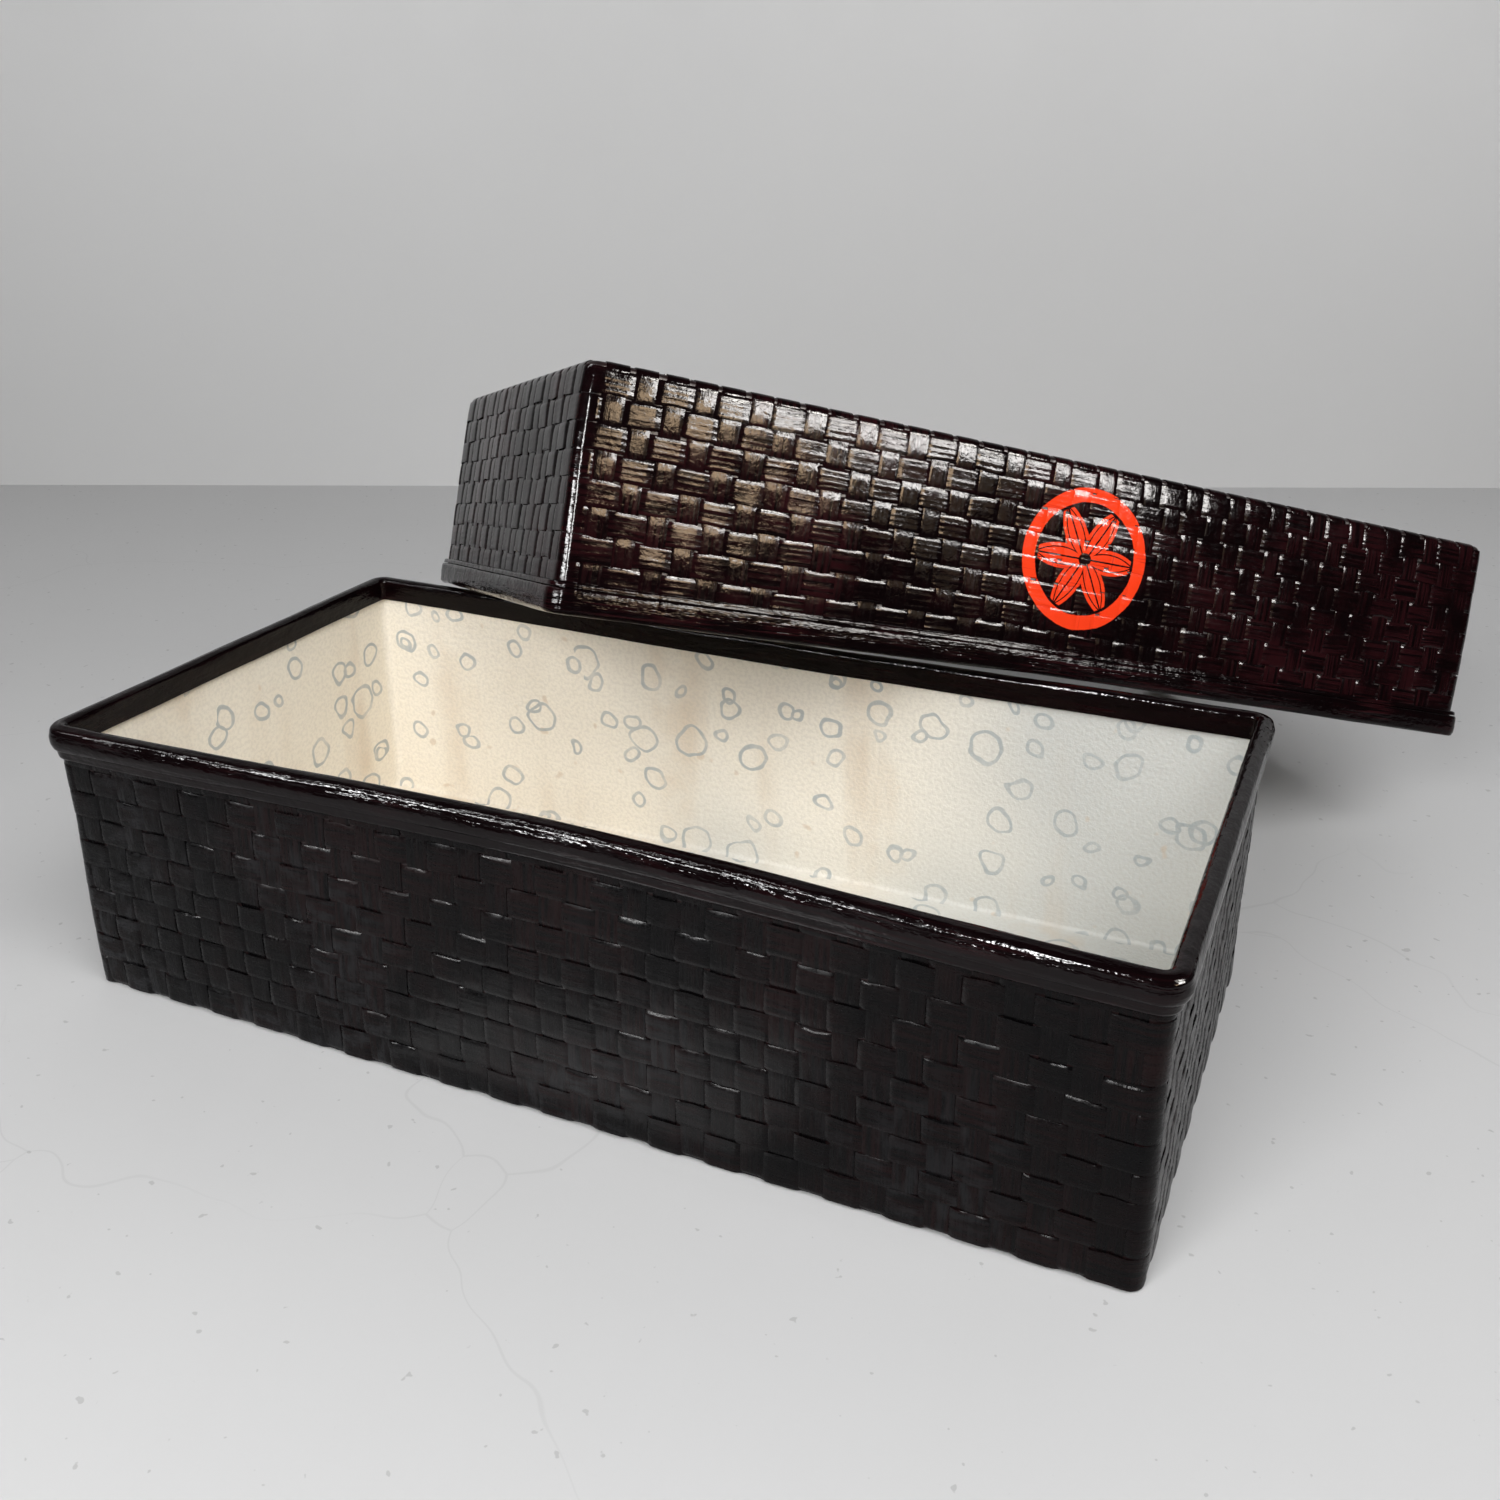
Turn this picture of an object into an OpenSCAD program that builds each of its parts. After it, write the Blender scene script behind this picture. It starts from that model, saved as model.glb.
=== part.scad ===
// Lidded storage basket of split bamboo, lacquered over, with a pasted paper lining.
// Millimetres, +Z up. The base stands on z = 0 with its centre over the origin and its long
// side along X. The lid has been taken off: it leans on the base's back rim, open side down,
// turned in its own plane, with its far corner on the floor.
//
// Each half is a shallow box of plain weave. Straight uprights stand in the middle of a wall,
// and closed bands run round the four walls, in front of one upright and behind the next.
// The bottom and the lid's top are woven the same way, from straight cross strips and waved
// long strips, each as wide as two uprights with the gap between them.

/* [Base] */
// Length of the base over its weave
base_l = 850; // [700:5:1000]
// Width of the base over its weave
base_w = 411; // [340:1:520]
// Height of the base with its rim
base_h = 233.4; // [180:0.1:300]
// Number of woven bands round the base
base_rows = 10; // [6:1:14]
// How far under its rim binding the base's top band ends, behind the rim bands
base_band_stop = 8.1; // [1:0.1:14]

/* [Lid] */
// Gap all round between the base's rim and the lid's inner rim when the lid is on
lid_clearance = 2; // [1:0.5:6]
// Height of the lid with its rim
lid_h = 182.5; // [140:0.1:230]
// Number of woven bands round the lid
lid_rows = 8; // [5:1:12]
// How far under its rim binding the lid's top band ends, behind the rim bands
lid_band_stop = 14; // [1:0.1:15]

/* [Weave] */
// Thickness of every split bamboo strip
strip_t = 1.2; // [0.8:0.1:1.6]
// Width of one upright
upright_w = 17.6; // [12:0.2:18]
// Wanted distance from one upright to the next, before it is fitted to the wall
column_pitch = 22.4; // [21.4:0.2:28]
// How far a band stays flat past each edge of the upright that it crosses
flat_margin = 0.7; // [0.3:0.1:1]
// Gap between a band and the next one above it
band_gap = 1.2; // [0.6:0.1:3]
// Clearance between strips that cross
weave_gap = 0.1; // [0.05:0.05:0.2]
// Radius of the wall's upright corners, to the middle of the weave
corner_r = 11; // [9:0.5:20]
// Radius of the bend from a wall into the bottom, to the middle of the strip
bend_r = 5; // [4:0.1:5]

/* [Rim] */
// Height of the rounded binding along the top of the rim
binding_h = 4.4; // [3:0.2:6]
// Height of the outer rim band
outer_rim_h = 15.4; // [10:0.2:24]
// Thickness of the outer rim band
outer_rim_t = 6.7; // [5:0.1:9]
// Radius of the outer rim band's lower edge
outer_rim_edge_r = 3; // [1:0.5:4]
// Height of the thin half-round splint under the outer rim band
bead_h = 4; // [2:0.2:6]
// How far the thin splint stands out
bead_t = 3.2; // [2:0.1:5]
// Height of the inner rim band
inner_rim_h = 17; // [10:0.5:26]
// Thickness of the inner rim band
inner_rim_t = 3.5; // [2:0.1:5]

/* [Lining] */
// Thickness of the pasted paper lining
lining_t = 1.2; // [0.8:0.1:2]
// Clearance where one piece is pasted or laid against another
seat_gap = 0.1; // [0.05:0.05:0.2]

/* [Leaning lid] */
// Turn of the lid in its own plane
lid_turn = 44.7; // [30:0.1:50]
// Place of the lid's centre along the base's back rim, from the middle
lid_along = 102; // [60:1:120]
// Distance down the lean from the back rim to the lid's centre
lid_reach = 177; // [160:1:190]
// Clearance under the lid where it leans on the rim and where it meets the floor
lean_gap = 0.3; // [0.2:0.1:0.5]

/* [Hidden] */
// Flat steps in a band's corner and in the bend of an upright's foot
corner_steps = 4;
bend_steps = 2;
// Round faces of the rims
rim_fn = 48;
// How many uprights stand over each strip of the bottom and of the top
mat_split = 2;

weave_a = strip_t + weave_gap;
wall_t = 2 * weave_a + strip_t;

// Distances from the middle of the weave, outwards positive
weave_face = wall_t / 2;
rim_seat = weave_face + seat_gap;
rim_face = rim_seat + outer_rim_t;
lining_back = -weave_face - seat_gap;
lining_face = lining_back - lining_t;
inner_rim_back = lining_face - seat_gap;
inner_rim_face = inner_rim_back - inner_rim_t;

// The lid slides down over the base's rim
lid_grow = rim_face + lid_clearance - inner_rim_face;
lid_l = base_l + 2 * lid_grow;
lid_w = base_w + 2 * lid_grow;

mat_mid = wall_t / 2;
floor_z = wall_t + seat_gap;
first_row_z = mat_mid + bend_r + seat_gap;

function wall_top(h) = h - binding_h - seat_gap;
function mid(outer) = outer / 2 - weave_face;
function straight(outer) = 2 * (mid(outer) - corner_r);

// A wall has an odd number of mat strips, so one of them passes under the middle of the mat
function columns(outer) =
    mat_split * (2 * floor(straight(outer) / (2 * mat_split * column_pitch)) + 1);
function pitch(outer) = straight(outer) / columns(outer);

// Strips as wide as some number of uprights: how many a wall has, how wide, and where
function strips(outer, split) = columns(outer) / split;
function strip_w(outer, split) = (split - 1) * pitch(outer) + upright_w;
function strip_at(outer, split, i) = (i - (strips(outer, split) - 1) / 2) * split * pitch(outer);
function flat_half(outer, split) = strip_w(outer, split) / 2 + flat_margin;
function row_pitch(h, rows, stop) = (wall_top(h) - stop + band_gap - first_row_z) / rows;
function over_or_under(n) = abs(n) % 2 == 0 ? 1 : -1;

lacquer = "#2a1214";
rim_lacquer = "#1d0f0f";
paper = "#ddd6c2";

// A plan point turned by quarter turns, from the front wall to another wall
function turned(p, side) = [
    p.x * cos(90 * side) - p.y * sin(90 * side),
    p.x * sin(90 * side) + p.y * cos(90 * side)
];

// Sizes along and across one wall: 0 front, 1 right, 2 back, 3 left
function along(l, w, side) = side % 2 == 0 ? l : w;
function across(l, w, side) = side % 2 == 0 ? w : l;

// Number of uprights that stand before a wall's first one, counted from the front wall's left end
function uprights_before(l, w, side) =
    side == 0 ? 0 : uprights_before(l, w, side - 1) + columns(along(l, w, side - 1));

// One face of a band in plan, all the way round: flats over the uprights, arcs at the corners
function band_face(l, w, row, face) = [
    for (side = [0 : 3])
        let (a = along(l, w, side), depth = mid(across(l, w, side)))
            each concat(
                [
                    for (i = [0 : columns(a) - 1])
                        let (out = over_or_under(uprights_before(l, w, side) + i + row) * weave_a + face)
                            for (end = [-1, 1])
                                turned([strip_at(a, 1, i) + end * flat_half(a, 1), -depth - out], side)
                ],
                [
                    for (k = [0 : corner_steps])
                        let (angle = 90 * k / corner_steps - 90)
                            turned([
                                straight(a) / 2 + (corner_r + face) * cos(angle),
                                corner_r - depth + (corner_r + face) * sin(angle)
                            ], side)
                ]
            )
];

// A closed band, woven in front of one upright and behind the next
module band(l, w, row, pitch_z) {
    outer = band_face(l, w, row, strip_t / 2);
    inner = band_face(l, w, row, -strip_t / 2);
    translate([0, 0, first_row_z + (row - 1) * pitch_z])
        linear_extrude(pitch_z - band_gap)
            polygon(
                concat(outer, inner),
                paths = [
                    [for (i = [0 : len(outer) - 1]) i],
                    [for (i = [0 : len(inner) - 1]) len(outer) + i]
                ]
            );
}

// Section of an upright: straight up the wall, with its foot bent in towards the bottom
function upright_section(h) = concat(
    [[strip_t / 2, wall_top(h)]],
    [
        for (k = [0 : bend_steps])
            let (angle = -90 * k / bend_steps)
                [bend_r * (cos(angle) - 1) + strip_t / 2 * cos(angle),
                 mat_mid + bend_r + (bend_r + strip_t / 2) * sin(angle)]
    ],
    [
        for (k = [bend_steps : -1 : 0])
            let (angle = -90 * k / bend_steps)
                [bend_r * (cos(angle) - 1) - strip_t / 2 * cos(angle),
                 mat_mid + bend_r + (bend_r - strip_t / 2) * sin(angle)]
    ],
    [[-strip_t / 2, wall_top(h)]]
);

// Places its child, drawn outwards along x and up along y, upright against one wall
module against_wall(l, w, side) {
    rotate([0, 0, 90 * side])
        translate([0, -mid(across(l, w, side)), 0])
            rotate([90, 0, -90])
                children();
}

module uprights(l, w, h, side) {
    for (i = [0 : columns(along(l, w, side)) - 1])
        against_wall(l, w, side)
            translate([0, 0, strip_at(along(l, w, side), 1, i)])
                linear_extrude(upright_w, center = true)
                    polygon(upright_section(h));
}

module cross_strips(l, w, split = mat_split) {
    for (i = [0 : strips(l, split) - 1])
        translate([strip_at(l, split, i) - strip_w(l, split) / 2, bend_r - mid(w), mat_mid - strip_t / 2])
            cube([strip_w(l, split), 2 * (mid(w) - bend_r), strip_t]);
}

// One face of a long strip, which dips under every second cross strip, the middle one included
function long_strip_face(l, w, split, j, face) = concat(
    [[bend_r - mid(l), mat_mid + face]],
    [
        for (i = [0 : strips(l, split) - 1])
            let (steps = i + j - (strips(l, split) + strips(w, split)) / 2 + 1)
                for (end = [-1, 1])
                    [strip_at(l, split, i) + end * flat_half(l, split),
                     mat_mid - over_or_under(steps) * weave_a + face]
    ],
    [[mid(l) - bend_r, mat_mid + face]]
);

module long_strips(l, w, split = mat_split) {
    for (j = [0 : strips(w, split) - 1])
        let (
            upper = long_strip_face(l, w, split, j, strip_t / 2),
            lower = long_strip_face(l, w, split, j, -strip_t / 2)
        )
            translate([0, strip_at(w, split, j), 0])
                rotate([90, 0, 0])
                    linear_extrude(strip_w(w, split), center = true)
                        polygon(concat(upper, [for (p = [len(lower) - 1 : -1 : 0]) lower[p]]));
}

// Sweeps its child, a section drawn outwards from the middle of the weave, round the walls
module hoop(l, w) {
    for (side = [0 : 3])
        rotate([0, 0, 90 * side]) {
            translate([0, -mid(across(l, w, side)), 0])
                rotate([90, 0, -90])
                    linear_extrude(straight(along(l, w, side)), center = true)
                        children();
            translate([straight(along(l, w, side)) / 2, corner_r - mid(across(l, w, side)), 0])
                rotate([0, 0, -90])
                    rotate_extrude(angle = 90, $fn = rim_fn)
                        translate([corner_r, 0])
                            children();
        }
}

module outer_rim(l, w, h) {
    hoop(l, w)
        translate([rim_seat, wall_top(h) - outer_rim_h])
            union() {
                square([outer_rim_t - outer_rim_edge_r, outer_rim_h]);
                translate([0, outer_rim_edge_r])
                    square([outer_rim_t, outer_rim_h - outer_rim_edge_r]);
                translate([outer_rim_t - outer_rim_edge_r, outer_rim_edge_r])
                    circle(outer_rim_edge_r, $fn = rim_fn);
            }
}

// Half-round splint that hides the outer rim band's lower edge
module rim_splint(l, w, h) {
    hoop(l, w)
        translate([rim_seat, wall_top(h) - outer_rim_h - seat_gap - bead_h])
            union() {
                square([bead_t - bead_h / 2, bead_h]);
                intersection() {
                    square([bead_t, bead_h]);
                    translate([bead_t - bead_h / 2, bead_h / 2])
                        circle(bead_h / 2, $fn = rim_fn);
                }
            }
}

module inner_rim(l, w, h) {
    hoop(l, w)
        translate([inner_rim_face, wall_top(h) - inner_rim_h])
            square([inner_rim_t, inner_rim_h]);
}

// Rounded binding that closes the top of the rim, from the inner band to the outer one
module rim_binding(l, w, h) {
    hoop(l, w)
        translate([inner_rim_face, h - binding_h])
            intersection() {
                square([rim_face - inner_rim_face, binding_h]);
                union() {
                    translate([binding_h, 0])
                        square([rim_face - inner_rim_face - 2 * binding_h, binding_h]);
                    for (x = [binding_h, rim_face - inner_rim_face - binding_h])
                        translate([x, 0])
                            circle(binding_h, $fn = rim_fn);
                }
            }
}

module wall_lining(l, w, h, side) {
    against_wall(l, w, side)
        translate([lining_face, floor_z, seat_gap - straight(along(l, w, side)) / 2])
            cube([lining_t, wall_top(h) - floor_z, straight(along(l, w, side)) - 2 * seat_gap]);
}

module corner_linings(l, w, h) {
    for (x = [-1, 1], y = [-1, 1])
        translate([x * straight(l) / 2, y * straight(w) / 2, floor_z])
            rotate([0, 0, x > 0 ? (y > 0 ? 0 : -90) : (y > 0 ? 90 : 180)])
                rotate_extrude(angle = 90, $fn = rim_fn)
                    translate([corner_r + lining_face, 0])
                        square([lining_t, wall_top(h) - floor_z]);
}

// Sheet over the woven bottom, inside the wall linings
module floor_lining(l, w) {
    reach = inner_rim_back + corner_r;
    translate([0, 0, floor_z])
        linear_extrude(lining_t)
            union() {
                square([straight(l) + 2 * reach, straight(w)], center = true);
                square([straight(l), straight(w) + 2 * reach], center = true);
                for (x = [-1, 1], y = [-1, 1])
                    translate([x * straight(l) / 2, y * straight(w) / 2])
                        circle(reach, $fn = rim_fn);
            }
}

// The lean: the lid's open side lies along the rounded edge of the base's back rim, and the
// rounded edge of its far corner comes down to the floor.
rim_edge_y = mid(base_w) + rim_face - binding_h;
rim_edge_z = base_h - binding_h;
lid_corner_reach =
    straight(lid_l) / 2 * sin(lid_turn) + straight(lid_w) / 2 * cos(lid_turn)
    + corner_r + rim_face - binding_h;
lean_rise = rim_edge_z - binding_h - lean_gap;
lean_across = 2 * binding_h + lean_gap;
lean_length = lid_reach + lid_corner_reach;
lean_tilt =
    acos(-lean_rise / norm([lean_across, lean_length])) - atan2(lean_length, lean_across);

module leaning() {
    translate([
        lid_along,
        rim_edge_y + (binding_h + lean_gap) * sin(lean_tilt) + lid_reach * cos(lean_tilt),
        rim_edge_z + (binding_h + lean_gap) * cos(lean_tilt) - lid_reach * sin(lean_tilt)
    ])
        rotate([-lean_tilt, 0, 0])
            rotate([0, 0, lid_turn])
                translate([0, 0, lid_h])
                    rotate([180, 0, 0])
                        children();
}

module base_long_strips() { color(lacquer) long_strips(base_l, base_w); }
module base_cross_strips() { color(lacquer) cross_strips(base_l, base_w); }
module base_front_uprights() { color(lacquer) uprights(base_l, base_w, base_h, 0); }
module base_right_uprights() { color(lacquer) uprights(base_l, base_w, base_h, 1); }
module base_back_uprights() { color(lacquer) uprights(base_l, base_w, base_h, 2); }
module base_left_uprights() { color(lacquer) uprights(base_l, base_w, base_h, 3); }
module base_band(row) {
    color(lacquer) band(base_l, base_w, row, row_pitch(base_h, base_rows, base_band_stop));
}
module base_outer_rim() { color(rim_lacquer) outer_rim(base_l, base_w, base_h); }
module base_rim_splint() { color(rim_lacquer) rim_splint(base_l, base_w, base_h); }
module base_inner_rim() { color(rim_lacquer) inner_rim(base_l, base_w, base_h); }
module base_rim_binding() { color(rim_lacquer) rim_binding(base_l, base_w, base_h); }
module base_floor_lining() { color(paper) floor_lining(base_l, base_w); }
module base_front_lining() { color(paper) wall_lining(base_l, base_w, base_h, 0); }
module base_right_lining() { color(paper) wall_lining(base_l, base_w, base_h, 1); }
module base_back_lining() { color(paper) wall_lining(base_l, base_w, base_h, 2); }
module base_left_lining() { color(paper) wall_lining(base_l, base_w, base_h, 3); }
module base_corner_linings() { color(paper) corner_linings(base_l, base_w, base_h); }

module lid_long_strips() { color(lacquer) leaning() long_strips(lid_l, lid_w); }
module lid_cross_strips() { color(lacquer) leaning() cross_strips(lid_l, lid_w); }
module lid_front_uprights() { color(lacquer) leaning() uprights(lid_l, lid_w, lid_h, 2); }
module lid_right_uprights() { color(lacquer) leaning() uprights(lid_l, lid_w, lid_h, 1); }
module lid_back_uprights() { color(lacquer) leaning() uprights(lid_l, lid_w, lid_h, 0); }
module lid_left_uprights() { color(lacquer) leaning() uprights(lid_l, lid_w, lid_h, 3); }
module lid_band(row) {
    color(lacquer)
        leaning()
            band(lid_l, lid_w, row, row_pitch(lid_h, lid_rows, lid_band_stop));
}
module lid_outer_rim() { color(rim_lacquer) leaning() outer_rim(lid_l, lid_w, lid_h); }
module lid_rim_splint() { color(rim_lacquer) leaning() rim_splint(lid_l, lid_w, lid_h); }
module lid_inner_rim() { color(rim_lacquer) leaning() inner_rim(lid_l, lid_w, lid_h); }
module lid_rim_binding() { color(rim_lacquer) leaning() rim_binding(lid_l, lid_w, lid_h); }
module lid_top_lining() { color(paper) leaning() floor_lining(lid_l, lid_w); }
module lid_front_lining() { color(paper) leaning() wall_lining(lid_l, lid_w, lid_h, 2); }
module lid_right_lining() { color(paper) leaning() wall_lining(lid_l, lid_w, lid_h, 1); }
module lid_back_lining() { color(paper) leaning() wall_lining(lid_l, lid_w, lid_h, 0); }
module lid_left_lining() { color(paper) leaning() wall_lining(lid_l, lid_w, lid_h, 3); }
module lid_corner_linings() { color(paper) leaning() corner_linings(lid_l, lid_w, lid_h); }

base_long_strips();
base_cross_strips();
base_front_uprights();
base_right_uprights();
base_back_uprights();
base_left_uprights();
base_outer_rim();
base_rim_splint();
base_inner_rim();
base_rim_binding();
base_floor_lining();
base_front_lining();
base_right_lining();
base_back_lining();
base_left_lining();
base_corner_linings();
lid_long_strips();
lid_cross_strips();
lid_front_uprights();
lid_right_uprights();
lid_back_uprights();
lid_left_uprights();
lid_outer_rim();
lid_rim_splint();
lid_inner_rim();
lid_rim_binding();
lid_top_lining();
lid_front_lining();
lid_right_lining();
lid_back_lining();
lid_left_lining();
lid_corner_linings();
for (row = [1 : base_rows])
    base_band(row);
for (row = [1 : lid_rows])
    lid_band(row);
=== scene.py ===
"""Storage basket of lacquered split bamboo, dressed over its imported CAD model, in metres.

The base stands on the floor, lined with printed paper. The lid leans on its back rim, open side
down. Both halves are drawn standing open side up on z = 0, and then put in place.
"""

import math

import bpy
import numpy as np
from mathutils import Matrix, Vector


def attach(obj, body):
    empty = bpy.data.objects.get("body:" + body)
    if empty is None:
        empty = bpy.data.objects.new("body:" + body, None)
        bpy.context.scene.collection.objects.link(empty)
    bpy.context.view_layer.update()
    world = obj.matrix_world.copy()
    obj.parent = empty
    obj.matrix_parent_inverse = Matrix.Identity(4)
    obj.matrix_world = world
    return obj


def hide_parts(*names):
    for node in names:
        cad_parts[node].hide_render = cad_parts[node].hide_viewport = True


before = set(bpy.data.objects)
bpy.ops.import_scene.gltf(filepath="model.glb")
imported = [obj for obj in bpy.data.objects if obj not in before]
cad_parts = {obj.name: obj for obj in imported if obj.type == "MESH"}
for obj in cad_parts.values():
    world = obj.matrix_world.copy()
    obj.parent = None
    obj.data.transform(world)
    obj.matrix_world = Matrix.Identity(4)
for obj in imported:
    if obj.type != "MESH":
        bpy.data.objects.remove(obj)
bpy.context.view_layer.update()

# The weave, in the CAD's sizes
STRIP = 0.0012
SWING = STRIP + 0.0001
HALF_WALL = SWING + STRIP / 2
CORNER = 0.011
FOOT_BEND = 0.005
UPRIGHT_WIDTH = 0.0176
WIDTH_SPREAD = (-0.0008, 0.0014)
COLUMN_SHIFT = 0.0008
COLUMN_PITCH = 0.0224
BAND_GAP = 0.0012
SEAT = 0.0001
FIRST_BAND = HALF_WALL + FOOT_BEND + SEAT

# The rim and the lining, in the CAD's sizes
BINDING = 0.0044
RIM_HEIGHT = 0.0154
RIM_THICKNESS = 0.0067
INNER_RIM_HEIGHT = 0.017
INNER_RIM_THICKNESS = 0.0035
PAPER = 0.0012
RIM_SEAT = HALF_WALL + SEAT
RIM_FACE = RIM_SEAT + RIM_THICKNESS
PAPER_BACK = -HALF_WALL - SEAT
PAPER_FACE = PAPER_BACK - PAPER
INNER_RIM_BACK = PAPER_FACE - SEAT
INNER_RIM_FACE = INNER_RIM_BACK - INNER_RIM_THICKNESS

# The two halves
BASE_LENGTH, BASE_WIDTH, BASE_HEIGHT = 0.850, 0.411, 0.2334
LID_CLEARANCE = 0.002
LID_GROWTH = RIM_FACE + LID_CLEARANCE - INNER_RIM_FACE
LID_HEIGHT = 0.1825
BASE_ROWS, BASE_BAND_STOP = 10, 0.0081
LID_ROWS, LID_BAND_STOP = 8, 0.014

# The lean of the lid, over the outer edge of the base's back rim
RIM_EDGE_Y = BASE_WIDTH / 2 - HALF_WALL + RIM_FACE - BINDING
RIM_EDGE_Z = BASE_HEIGHT - BINDING
LID_TURN = math.radians(44.7)
LID_ALONG = 0.102
LID_REACH = 0.177
LEAN_GAP = 0.0003

# How the long walls of the base bow in at the top, and how its ends spread at the bottom
FRONT_BOW = 0.017
BACK_BOW = 0.009
END_SPREAD = 0.0041

# How the lid draws in at its shoulders, twists at its left end and sags at its open side
SHOULDER, SHOULDER_HEIGHT = 0.0012, 0.03
NEAR_SAG, FAR_RISE = 0.0042, 0.0024
OVERHANG = 0.28
RIM_SAG = 0.0088

# How uneven the walls are: the depth, and the wave numbers and phases for long and end walls
UNEVENNESS = 0.0010
BASE_WAVES = (23, 1.1, 21, 4), (27, 0.4, 23, 0.9)
LID_WAVES = (25, 0.3, 26, 3), (24, 1.9, 25, 0.2)

# How much of the CAD's in and out the weave shows on the long walls and on the end walls
BASE_RELIEF, LID_RELIEF, END_RELIEF = 0.8, 0.35, 0.7

# The rims. Bead: height, thickness and lean of the band under the rim. Rim shape: bulge, crown,
# and how far the shoulder reaches out and down. Edges: rounding of a woven band's low and high one
BASE_BEAD, LID_BEAD = (0.0085, 0.0030, 0.35), (0.0042, 0.0034, 0.1)
BASE_RIM_SHAPE, LID_RIM_SHAPE = (0.0012, 0.0005, 0.0075, 0.0062), (0.0004, 0.0, 0.0046, 0.0046)
LID_RIM_THINNING = 0.0015
BASE_EDGES, LID_EDGES = (0.0006, 0.0011), (0.0005, 0.00015)

FRONT, RIGHT, BACK, LEFT = range(4)
WALL_NAMES = ("front", "right", "back", "left")


class Half:
    """One half of the basket: its sizes over the weave, its woven columns and bands, its rim's
    shape, and the function that puts its drawn points in place."""

    def __init__(self, name, length, width, height, rows, band_stop, rim_thinning, bead, rim_shape,
                 edges, relief, turned_over, place, seed):
        self.name = name
        self.relief = relief + (END_RELIEF - relief) * np.array([0, 1])
        self.height = height
        self.wall_top = height - BINDING - SEAT
        self.depths = (width / 2 - HALF_WALL, length / 2 - HALF_WALL)
        self.straights = tuple(2 * (side / 2 - HALF_WALL - CORNER) for side in (length, width))
        self.counts = tuple(2 * (2 * int(s / (4 * COLUMN_PITCH)) + 1) for s in self.straights)
        self.pitches = tuple(s / n for s, n in zip(self.straights, self.counts))
        self.rows = rows
        self.row_pitch = (self.wall_top - band_stop + BAND_GAP - FIRST_BAND) / rows
        self.band_height = self.row_pitch - BAND_GAP
        self.rim_face = RIM_FACE - rim_thinning
        self.bead_height, self.bead_thickness, self.bead_lean = bead
        self.rim_bulge, self.rim_crown, self.shoulder_out, self.shoulder_down = rim_shape
        self.low_edge, self.high_edge = edges
        self.turned_over = turned_over
        self.place = place
        self.random = np.random.default_rng(seed)
        draws = [self.random.uniform(*WIDTH_SPREAD, n) for n in self.counts]
        self.widths = tuple(UPRIGHT_WIDTH + draw for draw in draws)
        self.shifts = tuple(self.random.uniform(-COLUMN_SHIFT, COLUMN_SHIFT, n) for n in self.counts)

    def side_of(self, wall):
        """The drawn side that ends up as a named wall: a lid that is turned over swaps two."""
        return {FRONT: BACK, BACK: FRONT}.get(wall, wall) if self.turned_over else wall

    def uprights_before(self, side):
        return sum(self.counts[s % 2] for s in range(side))

    def column_centres(self, side):
        n, pitch = self.counts[side % 2], self.pitches[side % 2]
        return (np.arange(n) - (n - 1) / 2) * pitch + self.shifts[side % 2]


def side_directions(side):
    """Unit vectors in plan: along a side, and out of it."""
    angle = side * math.pi / 2
    along = np.array([round(math.cos(angle)), round(math.sin(angle))], float)
    return along, np.array([along[1], -along[0]])


class WallLine:
    """The line round a half's walls, at the middle of the weave.

    Each side is a straight run of evenly spaced points and each corner a quarter circle:
    centre + radius * (outwards * cos + along * sin). passed counts the uprights that the line
    has gone by, so a whole number falls halfway between two of them. cornering is 1 in the
    middle of a corner and 0 on the straights."""

    def __init__(self, half, per_column, per_corner):
        points, outwards, passed, side_of = [], [], [], []
        for side in range(4):
            along, out = side_directions(side)
            straight, depth = half.straights[side % 2], half.depths[side % 2]
            count, before = half.counts[side % 2], half.uprights_before(side)
            share = np.arange(round(count * per_column)) / round(count * per_column)
            points.append(out * depth + along * ((share - 0.5) * straight)[:, None])
            outwards.append(np.tile(out, (len(share), 1)))
            passed.append(before + share * count)
            turn = np.arange(per_corner) / per_corner * math.pi / 2
            radial = out * np.cos(turn)[:, None] + along * np.sin(turn)[:, None]
            points.append(out * (depth - CORNER) + along * straight / 2 + CORNER * radial)
            outwards.append(radial)
            passed.append(np.full(per_corner, before + count, float))
            side_of.append(np.full(len(share) + per_corner, side))
        self.points = np.concatenate(points)
        self.outwards = np.concatenate(outwards)
        self.passed = np.concatenate(passed)
        self.side = np.concatenate(side_of)
        self.cornering = 2 * np.abs(self.outwards[:, 0] * self.outwards[:, 1])
        steps = np.linalg.norm(np.roll(self.points, -1, 0) - self.points, axis=1)
        self.distance = np.concatenate([[0], np.cumsum(steps)])
        self.uprights = half.uprights_before(4)

    def between_uprights(self, values):
        """Values given at the uprights, one each, run straight from each to the next."""
        at = np.arange(-1, self.uprights + 1) + 0.5
        return np.interp(self.passed, at, np.concatenate([values[-1:], values, values[:1]]))

    def at(self, out, up):
        """Points at distances out of the line and up, given along the line and round a section."""
        plan = self.points[:, None, :] + self.outwards[:, None, :] * out[..., None]
        return np.concatenate([plan, np.broadcast_to(up, out.shape)[..., None]], axis=-1)

    def waves(self, lengths, random):
        """Smooth unevenness round the line: sines of about the given lengths, each a whole number
        of times round, with random phases. It stays within -1 to 1."""
        total = self.distance[-1]
        turns = np.array([max(1, round(total / length)) for length in lengths])
        phases = random.uniform(0, 2 * math.pi, len(turns))
        heights = np.array(lengths) / sum(lengths)
        angle = 2 * math.pi * self.distance[:-1, None] * turns / total + phases
        return (np.sin(angle) * heights).sum(axis=1)


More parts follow.
